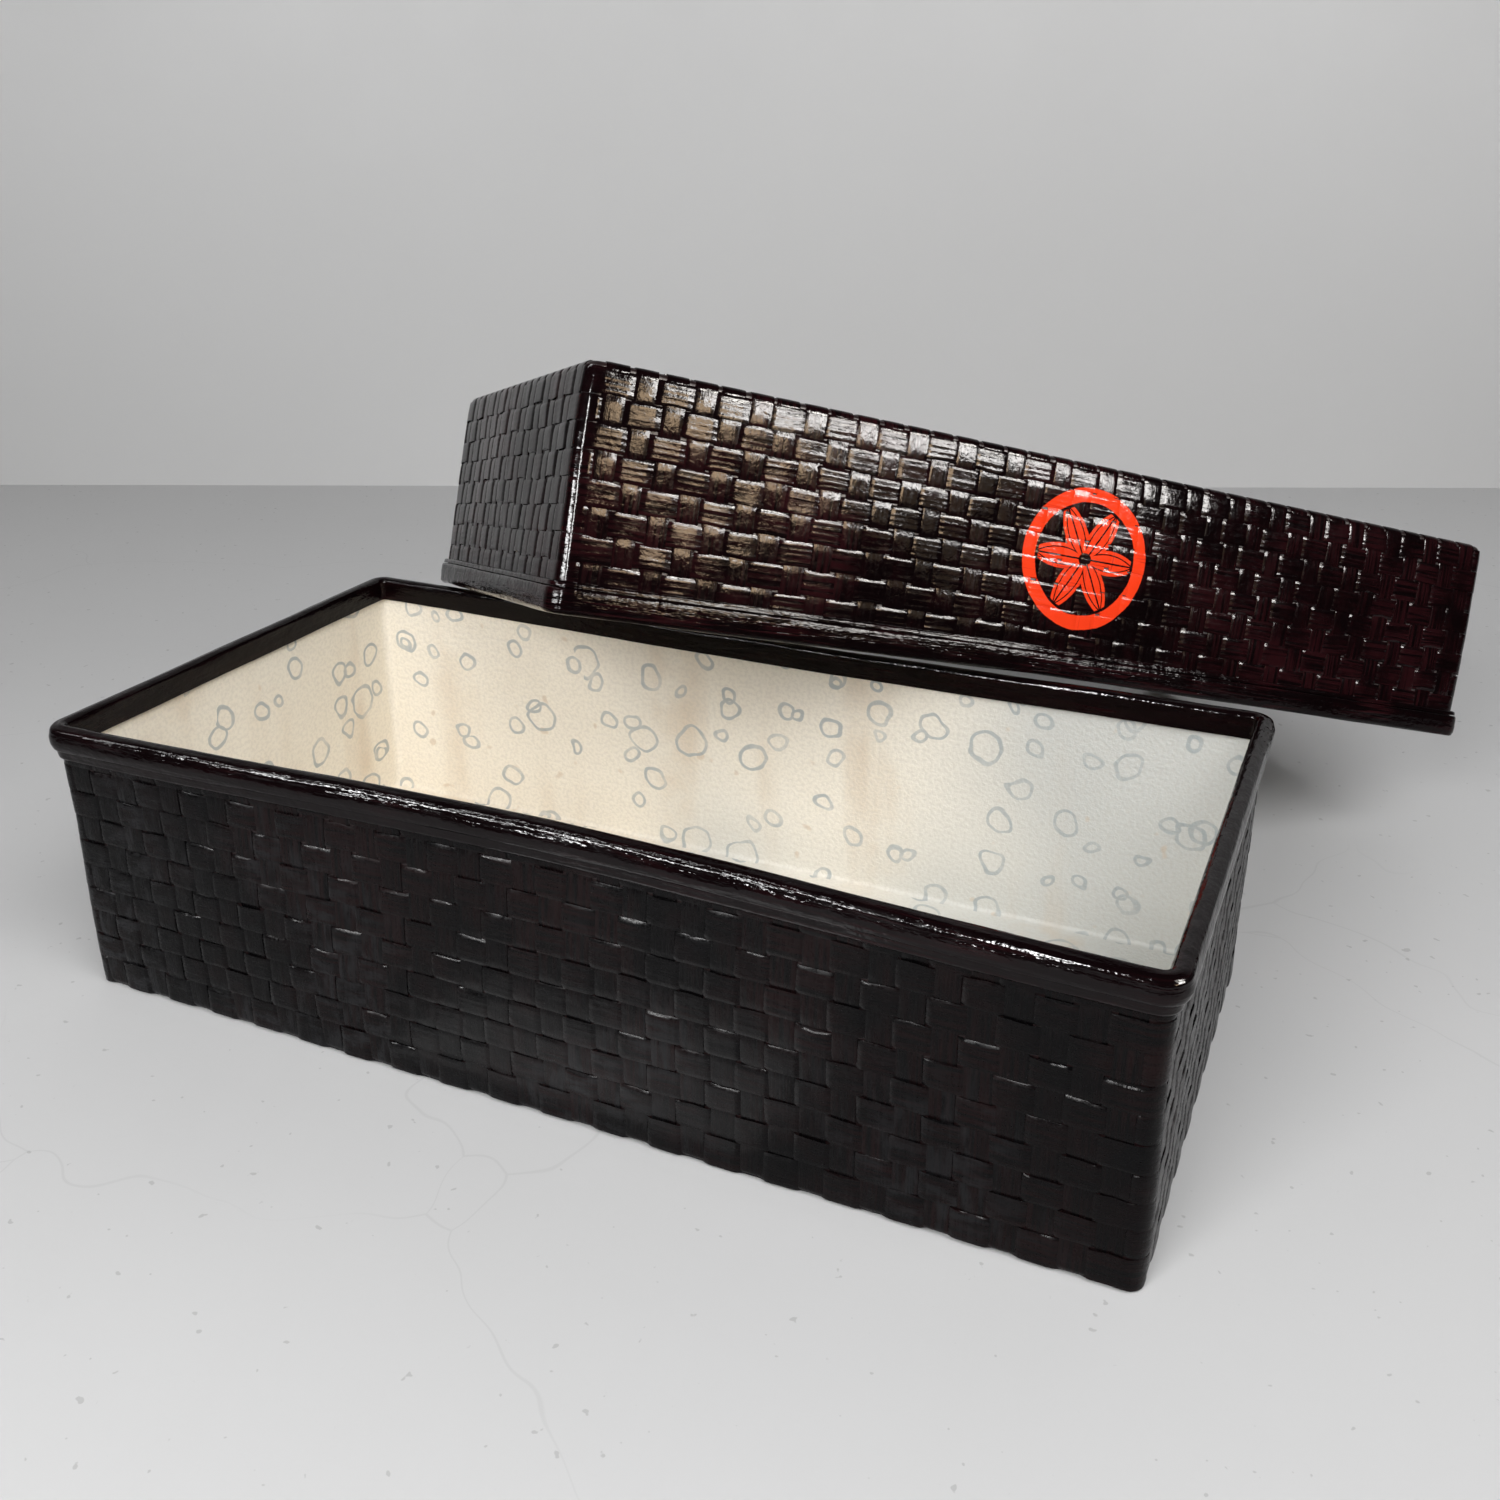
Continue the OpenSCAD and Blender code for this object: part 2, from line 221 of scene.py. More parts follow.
def volume(points, faces):
    """Signed volume inside a closed surface: a sixth of the sum of its triangles' triple products."""
    corners = points[faces]
    total = 0.0
    for second, third in ((1, 2), (2, 3)):
        cross = np.cross(corners[:, second], corners[:, third])
        total += np.einsum("ij,ij->", corners[:, 0], cross) / 6
    return total


def add_object(name, data):
    """A new object in the scene, at the origin."""
    made = bpy.data.objects.new(name, data)
    bpy.context.scene.collection.objects.link(made)
    return made


def surface(name, half, points, maps=None, closed_along=False, sharp=40):
    """Puts grids of points into one mesh. points has the shape (pieces, along, round, 3), and
    each grid's section is a closed ring. A grid that isn't closed along gets a flat cap at each
    end. maps holds UV grids with one more column round, and one more row if closed along."""
    pieces, rows, ring = points.shape[:3]
    i, j = np.meshgrid(np.arange(rows if closed_along else rows - 1), np.arange(ring), indexing="ij")
    i, j = i.ravel(), j.ravel()
    next_i, next_j = (i + 1) % rows, (j + 1) % ring
    quads = np.stack([i * ring + j, next_i * ring + j, next_i * ring + next_j, i * ring + next_j], -1)
    corner_i = np.stack([i, i + 1, i + 1, i], -1)
    corner_j = np.stack([j, j, j + 1, j + 1], -1)
    first = points[0].reshape(-1, 3)
    inside_out = volume(first - first.mean(axis=0), quads) < 0
    if inside_out:
        quads, corner_i, corner_j = quads[:, ::-1], corner_i[:, ::-1], corner_j[:, ::-1]
    starts = np.arange(pieces) * rows * ring
    faces = (quads[None] + starts[:, None, None]).reshape(-1, 4).tolist()
    if not closed_along:
        end = np.arange(ring)
        near, far = (end, end[::-1]) if inside_out else (end[::-1], end)
        for start in starts:
            faces.append((near + start).tolist())
            faces.append((far + start + (rows - 1) * ring).tolist())
    mesh = bpy.data.meshes.new(name)
    mesh.from_pydata(half.place(points.reshape(-1, 3)).tolist(), [], faces)
    for map_name, grid in (maps or {}).items():
        layer = mesh.uv_layers.new(name=map_name)
        coordinates = np.zeros((len(mesh.loops), 2))
        used = grid[:, corner_i, corner_j].reshape(-1, 2)
        coordinates[: len(used)] = used
        layer.data.foreach_set("uv", coordinates.ravel())
    mesh.shade_smooth()
    mesh.set_sharp_from_angle(angle=math.radians(sharp))
    return add_object(name, mesh)


def pair(first, second):
    """Two grids as the two coordinates of a UV map."""
    return np.stack(np.broadcast_arrays(first, second), axis=-1)


def closed(grid, axis=0):
    """A grid with its first row or column once more at its end."""
    return np.concatenate([grid, np.take(grid, [0], axis)], axis)


ASIDE = 10


def wall_map(half, line, up):
    """Places on the walls, for paint: distance from the middle of the side, and height. Every
    wall but the front one lies 10 m aside, so that paint meant for the front stays there."""
    along = np.stack([side_directions(side)[0] for side in range(4)])
    offset = np.einsum("ij,ij->i", line.points, along[line.side])
    offset = np.where(np.isin(line.side, (BACK, LEFT)), -offset, offset)
    offset = np.where(line.side == half.side_of(FRONT), offset, offset + ASIDE)
    return pair(closed(offset)[:, None], closed(closed(up), 1))


def unevenness(points, rise, long_waves, end_waves):
    """How far the walls under the rim stand out, along x and along y. Both are products of slow
    sines: sin(a y + b) sin(c z + d) on the end walls, and sin(a x + b) sin(c z + d x) on the
    long ones. rise goes from 0 at the foot to 1 under the rim, and they fade out at both."""
    x, y, z = points.T
    under_rim = np.sin(math.pi * rise) * UNEVENNESS
    a, b, c, d = end_waves
    end_out = under_rim * np.sin(y * a + b) * np.sin(z * c + d) * np.sign(x)
    a, b, c, d = long_waves
    long_out = under_rim * np.sin(x * a + b) * np.sin(z * c + x * d) * np.sign(y)
    return np.stack([end_out, long_out], -1)


def base_place(points):
    """The base's long walls bow in towards the top and the middle: y moves by
    bow * cos(pi x / length)^2 * (z / height)^2, from front bow at one wall to back bow at the
    other. Its ends spread towards the bottom: x grows by a share that falls evenly with z. The
    walls under the rim are a little uneven."""
    moved = points.copy()
    x, y, z = points.T
    rise = np.clip(z / (BASE_HEIGHT - BINDING - RIM_HEIGHT), 0, 1)
    share = y / BASE_WIDTH + 0.5
    bow = FRONT_BOW * (1 - share) - BACK_BOW * share
    bowed = bow * np.cos(math.pi * x / (BASE_LENGTH + 2 * RIM_FACE)) ** 2
    moved[:, 1] += bowed * np.clip(z / BASE_HEIGHT, 0, 1) ** 2
    moved[:, 0] += x / (BASE_LENGTH / 2) * END_SPREAD * (1 - rise)
    moved[:, :2] += unevenness(points, rise, *BASE_WAVES)
    return moved


def lean_matrix():
    """The lid's open side lies along the edge of the base's back rim, and the edge of its far
    corner comes down to the floor. The tilt follows from the two distances."""
    half_straights = (BASE_LENGTH / 2 + LID_GROWTH - HALF_WALL - CORNER,
                      BASE_WIDTH / 2 + LID_GROWTH - HALF_WALL - CORNER)
    corner_reach = (half_straights[0] * math.sin(LID_TURN) + half_straights[1] * math.cos(LID_TURN)
                    + CORNER + RIM_FACE - BINDING)
    rise = RIM_EDGE_Z - BINDING - LEAN_GAP
    across = 2 * BINDING + LEAN_GAP
    length = LID_REACH + corner_reach
    tilt = math.acos(-rise / math.hypot(across, length)) - math.atan2(length, across)
    middle = Vector((
        LID_ALONG,
        RIM_EDGE_Y + (BINDING + LEAN_GAP) * math.sin(tilt) + LID_REACH * math.cos(tilt),
        RIM_EDGE_Z + (BINDING + LEAN_GAP) * math.cos(tilt) - LID_REACH * math.sin(tilt),
    ))
    return (Matrix.Translation(middle)
            @ Matrix.Rotation(-tilt, 4, "X") @ Matrix.Rotation(LID_TURN, 4, "Z")
            @ Matrix.Translation((0, 0, LID_HEIGHT)) @ Matrix.Rotation(math.pi, 4, "X"))


LEAN = np.array(lean_matrix())


def lid_place(points):
    """The lid's walls draw in a little at its shoulders, by a parabola of the height, and are
    as uneven as the base's. Its top is a little twisted at the left: the near corner has sagged
    and the far one has risen, evenly across. Its open side hangs down evenly towards the near
    corner from where it lies on the base's rim. Then the lid is turned over and leaned."""
    moved = points.copy()
    x, y, z = points.T
    inwards = SHOULDER * np.clip(1 - z / SHOULDER_HEIGHT, 0, 1) ** 2
    moved[:, 0] *= 1 - inwards / (BASE_LENGTH / 2)
    moved[:, 1] *= 1 - inwards / (BASE_WIDTH / 2)
    moved[:, :2] += unevenness(points, np.clip(z / LID_HEIGHT, 0, 1), *LID_WAVES)
    leftwards = np.clip(0.5 - x / BASE_LENGTH, 0, 1)
    nearness = np.clip(0.5 + y / BASE_WIDTH, 0, 1)
    twist = leftwards * (NEAR_SAG * nearness - FAR_RISE * (1 - nearness))
    moved[:, 2] += twist * (1 - z / LID_HEIGHT)
    beyond_edge = RIM_EDGE_Y - LEAN[1, 3] - points @ LEAN[1, :3]
    moved[:, 2] += RIM_SAG * np.clip(beyond_edge / OVERHANG, 0, 1) * z / LID_HEIGHT
    return moved @ LEAN[:3, :3].T + LEAN[:3, 3]


base = Half("base", BASE_LENGTH, BASE_WIDTH, BASE_HEIGHT, BASE_ROWS, BASE_BAND_STOP,
            rim_thinning=0.0, bead=BASE_BEAD, rim_shape=BASE_RIM_SHAPE, edges=BASE_EDGES,
            relief=BASE_RELIEF, turned_over=False, place=base_place, seed=11)
lid = Half("lid", BASE_LENGTH + 2 * LID_GROWTH, BASE_WIDTH + 2 * LID_GROWTH, LID_HEIGHT,
           LID_ROWS, LID_BAND_STOP,
           rim_thinning=LID_RIM_THINNING, bead=LID_BEAD, rim_shape=LID_RIM_SHAPE, edges=LID_EDGES,
           relief=LID_RELIEF, turned_over=True, place=lid_place, seed=23)


# Woven strips

BAND_BULGE = 0.0013
BULGE_SPREAD = (-0.45, 0.25)
BAND_TUCK = 0.0012
BAND_LEAD = 0.27
BAND_STEEPNESS = 4.0
FOOT_COVER = 0.0042
BAND_ROLL = 0.00022
BAND_SPREAD = 0.0003
BAND_WANDER = 0.0006
BAND_DROP = 0.0032
SPLITS = 4
STEPS_IN_SPLIT = 3
SPLIT_CROWN = 0.00009
SPLIT_LIFT = 0.00008
SPLIT_WANDER = 0.05
BACK_EDGES = (0.9, -0.97)
UPRIGHT_SET_BACK = 0.0002
UPRIGHT_BULGE = 0.00055
UPRIGHT_LEAD = 0.12
UPRIGHT_STEEPNESS = 4.0
UPRIGHT_CROWN = 0.00012
UPRIGHT_EDGE = 0.00016
UPRIGHT_LEAN = 0.004
MAT_STEEPNESS = 2.4


def band_run(half, line, row):
    """How a band runs round the walls: its offset, roll, middle, half-height and the drop of its
    high edge. It stands out over one upright and dives behind the next:
    offset = tanh(steepness * (cos + lead)), where cos has one wave for every two uprights. It
    bulges, rolls and drops a little differently over each one."""
    random, count = half.random, line.uprights
    swing = np.tanh(BAND_STEEPNESS * (np.cos(math.pi * (line.passed - 0.5 + row)) + BAND_LEAD))
    bulge = BAND_BULGE * (1 + line.between_uprights(random.uniform(*BULGE_SPREAD, count)))
    endwards = line.outwards[:, 0] ** 2
    relief = half.relief[0] * (1 - endwards) + half.relief[1] * endwards
    offset = relief * np.where(swing > 0, swing * bulge, swing * BAND_TUCK)
    roll = BAND_ROLL * line.between_uprights(random.normal(0, 0.6, count))
    middle = FIRST_BAND + (row - 1) * half.row_pitch + half.band_height / 2
    middle = middle + BAND_WANDER * line.waves((0.3, 0.11, 0.05), random)
    spread = half.band_height / 2 + BAND_SPREAD * (1 + line.cornering)
    spread = spread * (1 + line.between_uprights(random.uniform(-0.03, 0.03, count)))
    drop = BAND_DROP * line.between_uprights(random.uniform(0, 1, count) ** 3) * (1 - line.cornering)
    return offset, roll, middle, spread, drop


def band_face(half, line, roll):
    """A band's outer face: places across it from -1 to 1, how far they shift sideways, and their
    heights. It is a row of low crowns, one for each thin split, turned in at the band's two
    edges by a sixth power. How much each crown and edge shows differs along it."""
    random, count = half.random, line.uprights
    edges = np.linspace(-1, 1, SPLITS + 1)
    edges[1:-1] += random.uniform(-0.08, 0.08, SPLITS - 1)
    steps = np.arange(SPLITS * STEPS_IN_SPLIT + 1)
    across = np.interp(steps / STEPS_IN_SPLIT, np.arange(SPLITS + 1), edges)
    crown = np.where(steps % STEPS_IN_SPLIT > 0, SPLIT_CROWN, -SPLIT_CROWN)
    ridges = line.between_uprights(random.uniform(0.1, 1.0, count)) * (1 - 0.8 * line.cornering)
    low_edge = half.low_edge * line.between_uprights(random.uniform(0.3, 1.3, count))
    high_edge = half.high_edge * line.between_uprights(1.6 * random.uniform(0, 1, count) ** 2)
    rounding = np.where(across < 0, low_edge[:, None], high_edge[:, None])
    rounding = rounding * (1 - 0.7 * line.cornering[:, None])
    heights = ridges[:, None] * crown - rounding * np.abs(across) ** 6
    heights = heights + roll * across
    sideways = np.zeros_like(heights)
    for split in range(SPLITS):
        near_edge = np.clip(1 - np.abs(steps - split * STEPS_IN_SPLIT) / STEPS_IN_SPLIT, 0, 1)
        near_middle = np.clip(1 - np.abs(steps / STEPS_IN_SPLIT - split - 0.5), 0, 1)
        if split > 0:
            sideways += SPLIT_WANDER * line.waves((0.21, 0.08), random)[:, None] * near_edge
        heights += SPLIT_LIFT * line.waves((0.13, 0.05), random)[:, None] * near_middle
    return across, sideways, heights


def band(half, line, row):
    """One closed band of thin splits side by side, with a flat back. On the base the lowest one
    reaches down over the bend of the foot."""
    offset, roll, middle, spread, drop = (run[:, None] for run in band_run(half, line, row))
    across, sideways, heights = band_face(half, line, roll)
    out = offset + STRIP / 2 + heights
    up = middle + spread * (across + sideways) - drop * np.clip(across, 0, 1)
    if row == 1 and not half.turned_over:
        up += FOOT_COVER * np.clip(across, -1, 0)
    back_out = np.repeat(offset - STRIP / 2, 2, axis=1)
    back_up = middle + spread * np.array(BACK_EDGES)
    out, up = np.concatenate([out, back_out], axis=1), np.concatenate([up, back_up], axis=1)

    across_map = np.concatenate([across, [1, -1], across[:1]]) * half.band_height / 2
    strip_map = pair(line.distance[:, None], across_map + row)
    maps = {"strip": strip_map[None], "wall": wall_map(half, line, up)[None]}
    name = f"{half.name}_woven_band_{row}"
    return surface(name, half, line.at(out, up)[None], maps, closed_along=True)


def upright_path(half, columns, relief):
    """Offsets and heights along uprights from the top of the wall down, round the foot's bend
    and a little way into the bottom. Down the wall each upright stands out between two bands
    that pass over it, by tanh(steepness * (cos - lead)), and dives behind them by an amount
    that differs from crossing to crossing."""
    per_row = 8
    heights = np.linspace(half.wall_top, FIRST_BAND - SEAT, half.rows * per_row + 1)
    row_count = (heights - FIRST_BAND) / half.row_pitch + 0.5
    wave = -np.cos(math.pi * (columns[:, None] + row_count))
    swell = np.tanh(UPRIGHT_STEEPNESS * (wave - UPRIGHT_LEAD))
    depth = half.random.uniform(0.5, 2.0, (len(columns), half.rows + 3))
    below = np.floor(row_count).astype(int)
    part = row_count - below
    depth = depth[:, below] * (1 - part) + depth[:, below + 1] * part
    fade = np.clip((heights - FIRST_BAND) / half.row_pitch * 2, 0, 1)
    bulge = relief * UPRIGHT_BULGE * np.where(swell < 0, swell * depth, swell)
    out = (bulge - UPRIGHT_SET_BACK) * fade
    turn = np.linspace(0, math.pi / 2, 6)[1:]
    foot_out = FOOT_BEND * (np.cos(turn) - 1)
    foot_up = HALF_WALL + FOOT_BEND * (1 - np.sin(turn))
    out = np.concatenate([out, np.tile(foot_out, (len(columns), 1))], axis=1)
    return out, np.concatenate([heights, foot_up])


def strip_set(half, name, middles, sideways, outward, widths, start, panel=None):
    """A set of flat strips in one mesh. A section is carried along each strip's middle line:
    middle + sideways * half-width * across + normal * face, where the normal is square to the
    path by central differences. The outer face is a low crown that turns in at the edges, and
    the inner face is flat. The strip map holds the distance along each strip, and the distance
    across it with a whole number that differs from strip to strip."""
    across = np.array([-1, -0.9, -0.5, 0, 0.5, 0.9, 1, 1, -1])
    face = STRIP / 2 + UPRIGHT_CROWN * (1 - across**2) - UPRIGHT_EDGE * (np.abs(across) > 0.95)
    face[-2:] = -STRIP / 2
    tangents = np.gradient(middles, axis=1)
    normals = np.cross(tangents, np.broadcast_to(sideways, tangents.shape))
    normals = normals / np.linalg.norm(normals, axis=-1, keepdims=True)
    normals *= np.sign((normals[:, :1] * outward).sum(-1, keepdims=True))
    half_widths = (widths / 2)[:, None, None]
    points = (middles[:, :, None] + (sideways * half_widths)[:, :, None] * across[:, None]
              + normals[:, :, None] * face[:, None])
    steps = np.linalg.norm(np.diff(middles, axis=1), axis=-1)
    along = np.concatenate([np.zeros((len(middles), 1)), np.cumsum(steps, axis=1)], axis=1)
    width = np.linalg.norm(points[:, :1, 6] - points[:, :1, 0], axis=-1) / 2
    number = start + np.arange(len(middles))[:, None, None]
    maps = {"strip": pair(along[..., None], width[..., None] * closed(across) + number)}
    if panel is not None:
        offsets, heights, mirrored, aside = panel
        offsets = offsets[..., None] + half_widths * closed(across)
        maps["wall"] = pair((-offsets if mirrored else offsets) + aside, heights[:, None])
    return surface(f"{half.name}_woven_{name}", half, points, maps)


def uprights(half, wall):
    """All the uprights of one wall, with their feet bent in."""
    side = half.side_of(wall)
    along, out = side_directions(side)
    count = half.counts[side % 2]
    columns = half.uprights_before(side) + np.arange(count)
    offsets, heights = upright_path(half, columns, half.relief[side % 2])
    lean = half.random.uniform(-UPRIGHT_LEAN, UPRIGHT_LEAN, count)
    across_wall = half.column_centres(side)[:, None] + lean[:, None] * (heights - heights.mean())
    plan = out * (half.depths[side % 2] + offsets)[..., None] + along * across_wall[..., None]
    ups = np.broadcast_to(heights, offsets.shape)[..., None]
    middles = np.concatenate([plan, ups], axis=-1)
    panel = (across_wall, heights, side in (BACK, LEFT), 0 if wall == FRONT else ASIDE)
    return strip_set(half, f"{WALL_NAMES[wall]}_uprights", middles, np.append(along, 0.0),
                     np.append(out, 0.0), half.widths[side % 2], 20 + 100 * side, panel)


def mat_strips(half, name, axis, dips):
    """Strips of the bottom, two and two. The long ones dip under every second pair of cross
    strips, by a flattened cosine, and the cross ones lie straight."""
    other = 1 - axis
    reach = half.depths[other] - FOOT_BEND
    pairs = half.counts[axis] // 2
    samples = np.linspace(-reach, reach, pairs * 8 + 1)
    phase = (np.arange(half.counts[other]) // 2) - (half.counts[other] // 2 - 1) / 2
    turns = samples / (2 * half.pitches[axis]) + phase[:, None]
    wave = np.tanh(MAT_STEEPNESS * np.cos(math.pi * turns))
    fade = np.clip((reach - np.abs(samples)) / FOOT_BEND, 0, 1)
    height = HALF_WALL - dips * fade * wave
    along, sideways, up = np.eye(3)[[axis, other, 2]]
    middles = (along * samples[None, :, None] + sideways * half.column_centres(other)[:, None, None]
               + up * height[..., None])
    return strip_set(half, name, middles, sideways, -up, half.widths[other], 500 + 100 * axis)


# Trays, rims and beads

SHRINKS = np.array([0.985, 0.94, 0.85, 0.65, 0.4, 0.15, 0.002])


def tray(line, out, up):
    """Points down the walls along the given section, and then in over the bottom, where the
    last ring shrinks towards the middle."""
    walls = line.at(out, up)
    inner = walls[:, -1:] * np.stack([SHRINKS, SHRINKS, np.ones_like(SHRINKS)], -1)
    return np.concatenate([walls, inner], axis=1)


FILLING_FACE = -0.0007
FILLING_WANDER = 0.0002
FILLING_THICKNESS = 0.0004
FILLING_SUNK = 0.0003
FILLING_RIPPLES = (190, 110)


def lacquer_filling(half, line):
    """Lacquer that has filled the weave from behind, seen between the strips: a thin tray whose
    face rises and falls by slow waves, times a sine of the height, down the walls, round the
    foot and over the bottom."""
    heights = np.linspace(half.wall_top, FIRST_BAND, half.rows * 2 + 1)
    turn = np.linspace(0, math.pi / 2, 6)[1:]
    lump = line.waves((0.11, 0.06, 0.03), half.random)[:, None] * np.sin(heights * FILLING_RIPPLES[0])
    slow = line.waves((0.09, 0.05), half.random)[:, None]
    lump = lump + slow * np.cos(heights * FILLING_RIPPLES[1])
    wall_out = FILLING_FACE + FILLING_WANDER * lump
    wall_back = np.full_like(wall_out, FILLING_FACE - FILLING_WANDER - FILLING_THICKNESS)
    bend = FOOT_BEND - FILLING_SUNK
    faces = []
    for wall, radius in ((wall_out, bend), (wall_back, bend - FILLING_THICKNESS)):
        foot_out = np.tile(radius * np.cos(turn) - FOOT_BEND, (len(wall), 1))
        foot_up = HALF_WALL + FOOT_BEND - radius * np.sin(turn)
        faces.append(tray(line, np.concatenate([wall, foot_out], axis=1),
                          np.concatenate([heights, foot_up])))
    points = np.concatenate([faces[0], faces[1][:, ::-1]], axis=1)
    return surface(f"{half.name}_lacquer_filling", half, points[None], closed_along=True)


PAPER_COVE = 0.004
PAPER_PILLOW = 0.0005


def lining(half, line):
    """The paper's face and its back, each as a tray: down the walls, round a tight cove and in
    over the bottom, a sheet's thickness apart. The walls' faces are pillowed a little. The last
    value is the number of the ring where the bottom begins."""
    floor = 2 * HALF_WALL + SEAT + PAPER
    cove = PAPER_COVE
    wall_up = np.linspace(half.wall_top, floor + cove, 9)
    turn = np.radians(np.linspace(0, 90, 5))[1:]
    cove_out = PAPER_FACE - cove * (1 - np.cos(turn))
    face_out = np.concatenate([np.full(len(wall_up), PAPER_FACE), cove_out])
    face_up = np.concatenate([wall_up, floor + cove * (1 - np.sin(turn))])
    back_out = np.where(face_up > floor + cove, PAPER_BACK, face_out + PAPER)
    back_up = np.maximum(face_up - PAPER, floor - PAPER)
    back_up[0] = half.wall_top
    pillow = PAPER_PILLOW * np.sin(np.linspace(0, math.pi, len(wall_up)))
    pillow = pillow * (0.6 + 0.4 * line.waves((0.25, 0.1), half.random)[:, None])
    face = np.tile(face_out, (len(line.points), 1))
    face[:, : len(wall_up)] -= pillow
    back = np.tile(back_out, (len(line.points), 1))
    return tray(line, face, face_up), tray(line, back, back_up), len(face_up) - 1


WALL_SHEETS_UP = 3.0


def lining_piece(half, line):
    """The lining as one closed piece. Its map follows the walls: distance round, and height,
    set 3 m up so that the print doesn't repeat. On the bottom it is the drawn x and y."""
    face, back, wall_part = lining(half, line)
    points = np.concatenate([face, back[:, ::-1]], axis=1)
    heights = closed(closed(points[..., 2]), 1)
    sheet_map = pair(line.distance[:, None], heights + WALL_SHEETS_UP)
    piece = surface(f"{half.name}_paper_lining", half, points[None], {"paper": sheet_map[None]},
                    closed_along=True, sharp=60)
    mesh = piece.data
    rows, ring = points.shape[:2]
    column = np.tile(np.arange(ring), rows)
    vertices = np.zeros(len(mesh.loops), int)
    mesh.loops.foreach_get("vertex_index", vertices)
    coordinates = np.zeros(len(mesh.loops) * 2)
    layer = mesh.uv_layers["paper"].data
    layer.foreach_get("uv", coordinates)
    coordinates = coordinates.reshape(-1, 4, 2)
    drawn = points.reshape(-1, 3)[vertices].reshape(-1, 4, 3)
    on_floor = (column >= wall_part) & (column < face.shape[1])
    coordinates[on_floor] = drawn[on_floor][..., :2]
    layer.foreach_set("uv", coordinates.ravel())
    mesh.polygons.foreach_set("material_index", (column >= face.shape[1] - 1).astype(np.int32))
    return piece


SHARED_DENT = 0.35


def rim_ring(half, line, name, section, wrinkle, lengths):
    """A section carried round the walls. Long wrinkles lie along it: each point of the section
    moves in towards the section's middle by its own slow wave of the distance, of which it
    shares a part with the point before it."""
    out, up = section
    centre_out, centre_up = out.mean(), up.mean()
    dent = np.stack([line.waves(lengths, half.random) for _ in out], axis=1)
    dent = (1 - SHARED_DENT) * dent + SHARED_DENT * np.roll(dent, 1, axis=1)
    size = np.hypot(out - centre_out, up - centre_up)
    move = wrinkle * (0.5 + 0.5 * dent) / size
    points = line.at(out - move * (out - centre_out), up - move * (up - centre_up))
    ring = np.cumsum(np.hypot(*(np.roll(section, -1, axis=1) - section)))
    maps = {"strip": pair(line.distance[:, None], np.concatenate([[0], ring]))[None]}
    return surface(f"{half.name}_{name}", half, points[None], maps, closed_along=True, sharp=50)


def arc(centre, radius, start, end, steps):
    """Points on a circle from one angle in degrees to another."""
    angles = np.radians(np.linspace(start, end, steps + 1))
    return np.stack([centre[0] + radius * np.cos(angles), centre[1] + radius * np.sin(angles)], -1)


RIM_LOW_EDGE = 0.0020
BEAD_BURIED = 0.0008


def rim_section(half):
    """The rim in section: up the outer band, which bulges by a square, over an elliptic shoulder
    and a low crown, and down the inner band."""
    top, under, face = half.height - half.rim_crown, half.wall_top, half.rim_face
    share = np.linspace(-1, 1, 8)[1:-1]
    low, high = under - RIM_HEIGHT + RIM_LOW_EDGE, top - half.shoulder_down
    heights = (low + high) / 2 + share * (high - low) / 2
    side = np.stack([face - half.rim_bulge * share**2, heights], -1)
    drawn_in = face - half.rim_bulge
    inner_top = INNER_RIM_FACE + BINDING
    shoulder_start = drawn_in - half.shoulder_out
    shoulder = arc((0, 0), 1, 5, 88, 8) * [half.shoulder_out, half.shoulder_down]
    round_over = shoulder + [shoulder_start, high]
    down = np.linspace(0, 1, 5)[:, None] * np.array([0, -INNER_RIM_HEIGHT])
    inner = down + [INNER_RIM_FACE, top - BINDING]
    parts = [
        [[RIM_SEAT, under - RIM_HEIGHT]],
        arc((drawn_in - RIM_LOW_EDGE, low), RIM_LOW_EDGE, -90, -10, 4),
        side,
        round_over,
        [[(shoulder_start + inner_top) / 2, half.height]],
        arc((inner_top, top - BINDING), BINDING, 95, 180, 6)[:-1],
        inner,
        [[INNER_RIM_BACK, under - INNER_RIM_HEIGHT], [INNER_RIM_BACK, under], [RIM_SEAT, under]],
    ]
    return np.concatenate(parts).T


def bead_section(half):
    """The thin band under the rim: it meets the rim full, leans in to the weave below and is
    rounded at its foot."""
    foot = half.wall_top - RIM_HEIGHT - SEAT - half.bead_height
    share = np.linspace(0, 1, 7)
    lean = half.bead_thickness * (1 - half.bead_lean * (1 - share))
    round_foot = np.sqrt(np.clip(1 - (1 - share) ** 8, 0, 1))
    face = RIM_SEAT + lean * (0.25 + 0.75 * round_foot)
    side = np.stack([face, foot + half.bead_height * share], -1)
    top = foot + half.bead_height
    return np.concatenate([[[RIM_SEAT - BEAD_BURIED, foot]], side, [[RIM_SEAT, top]]]).T


# Materials

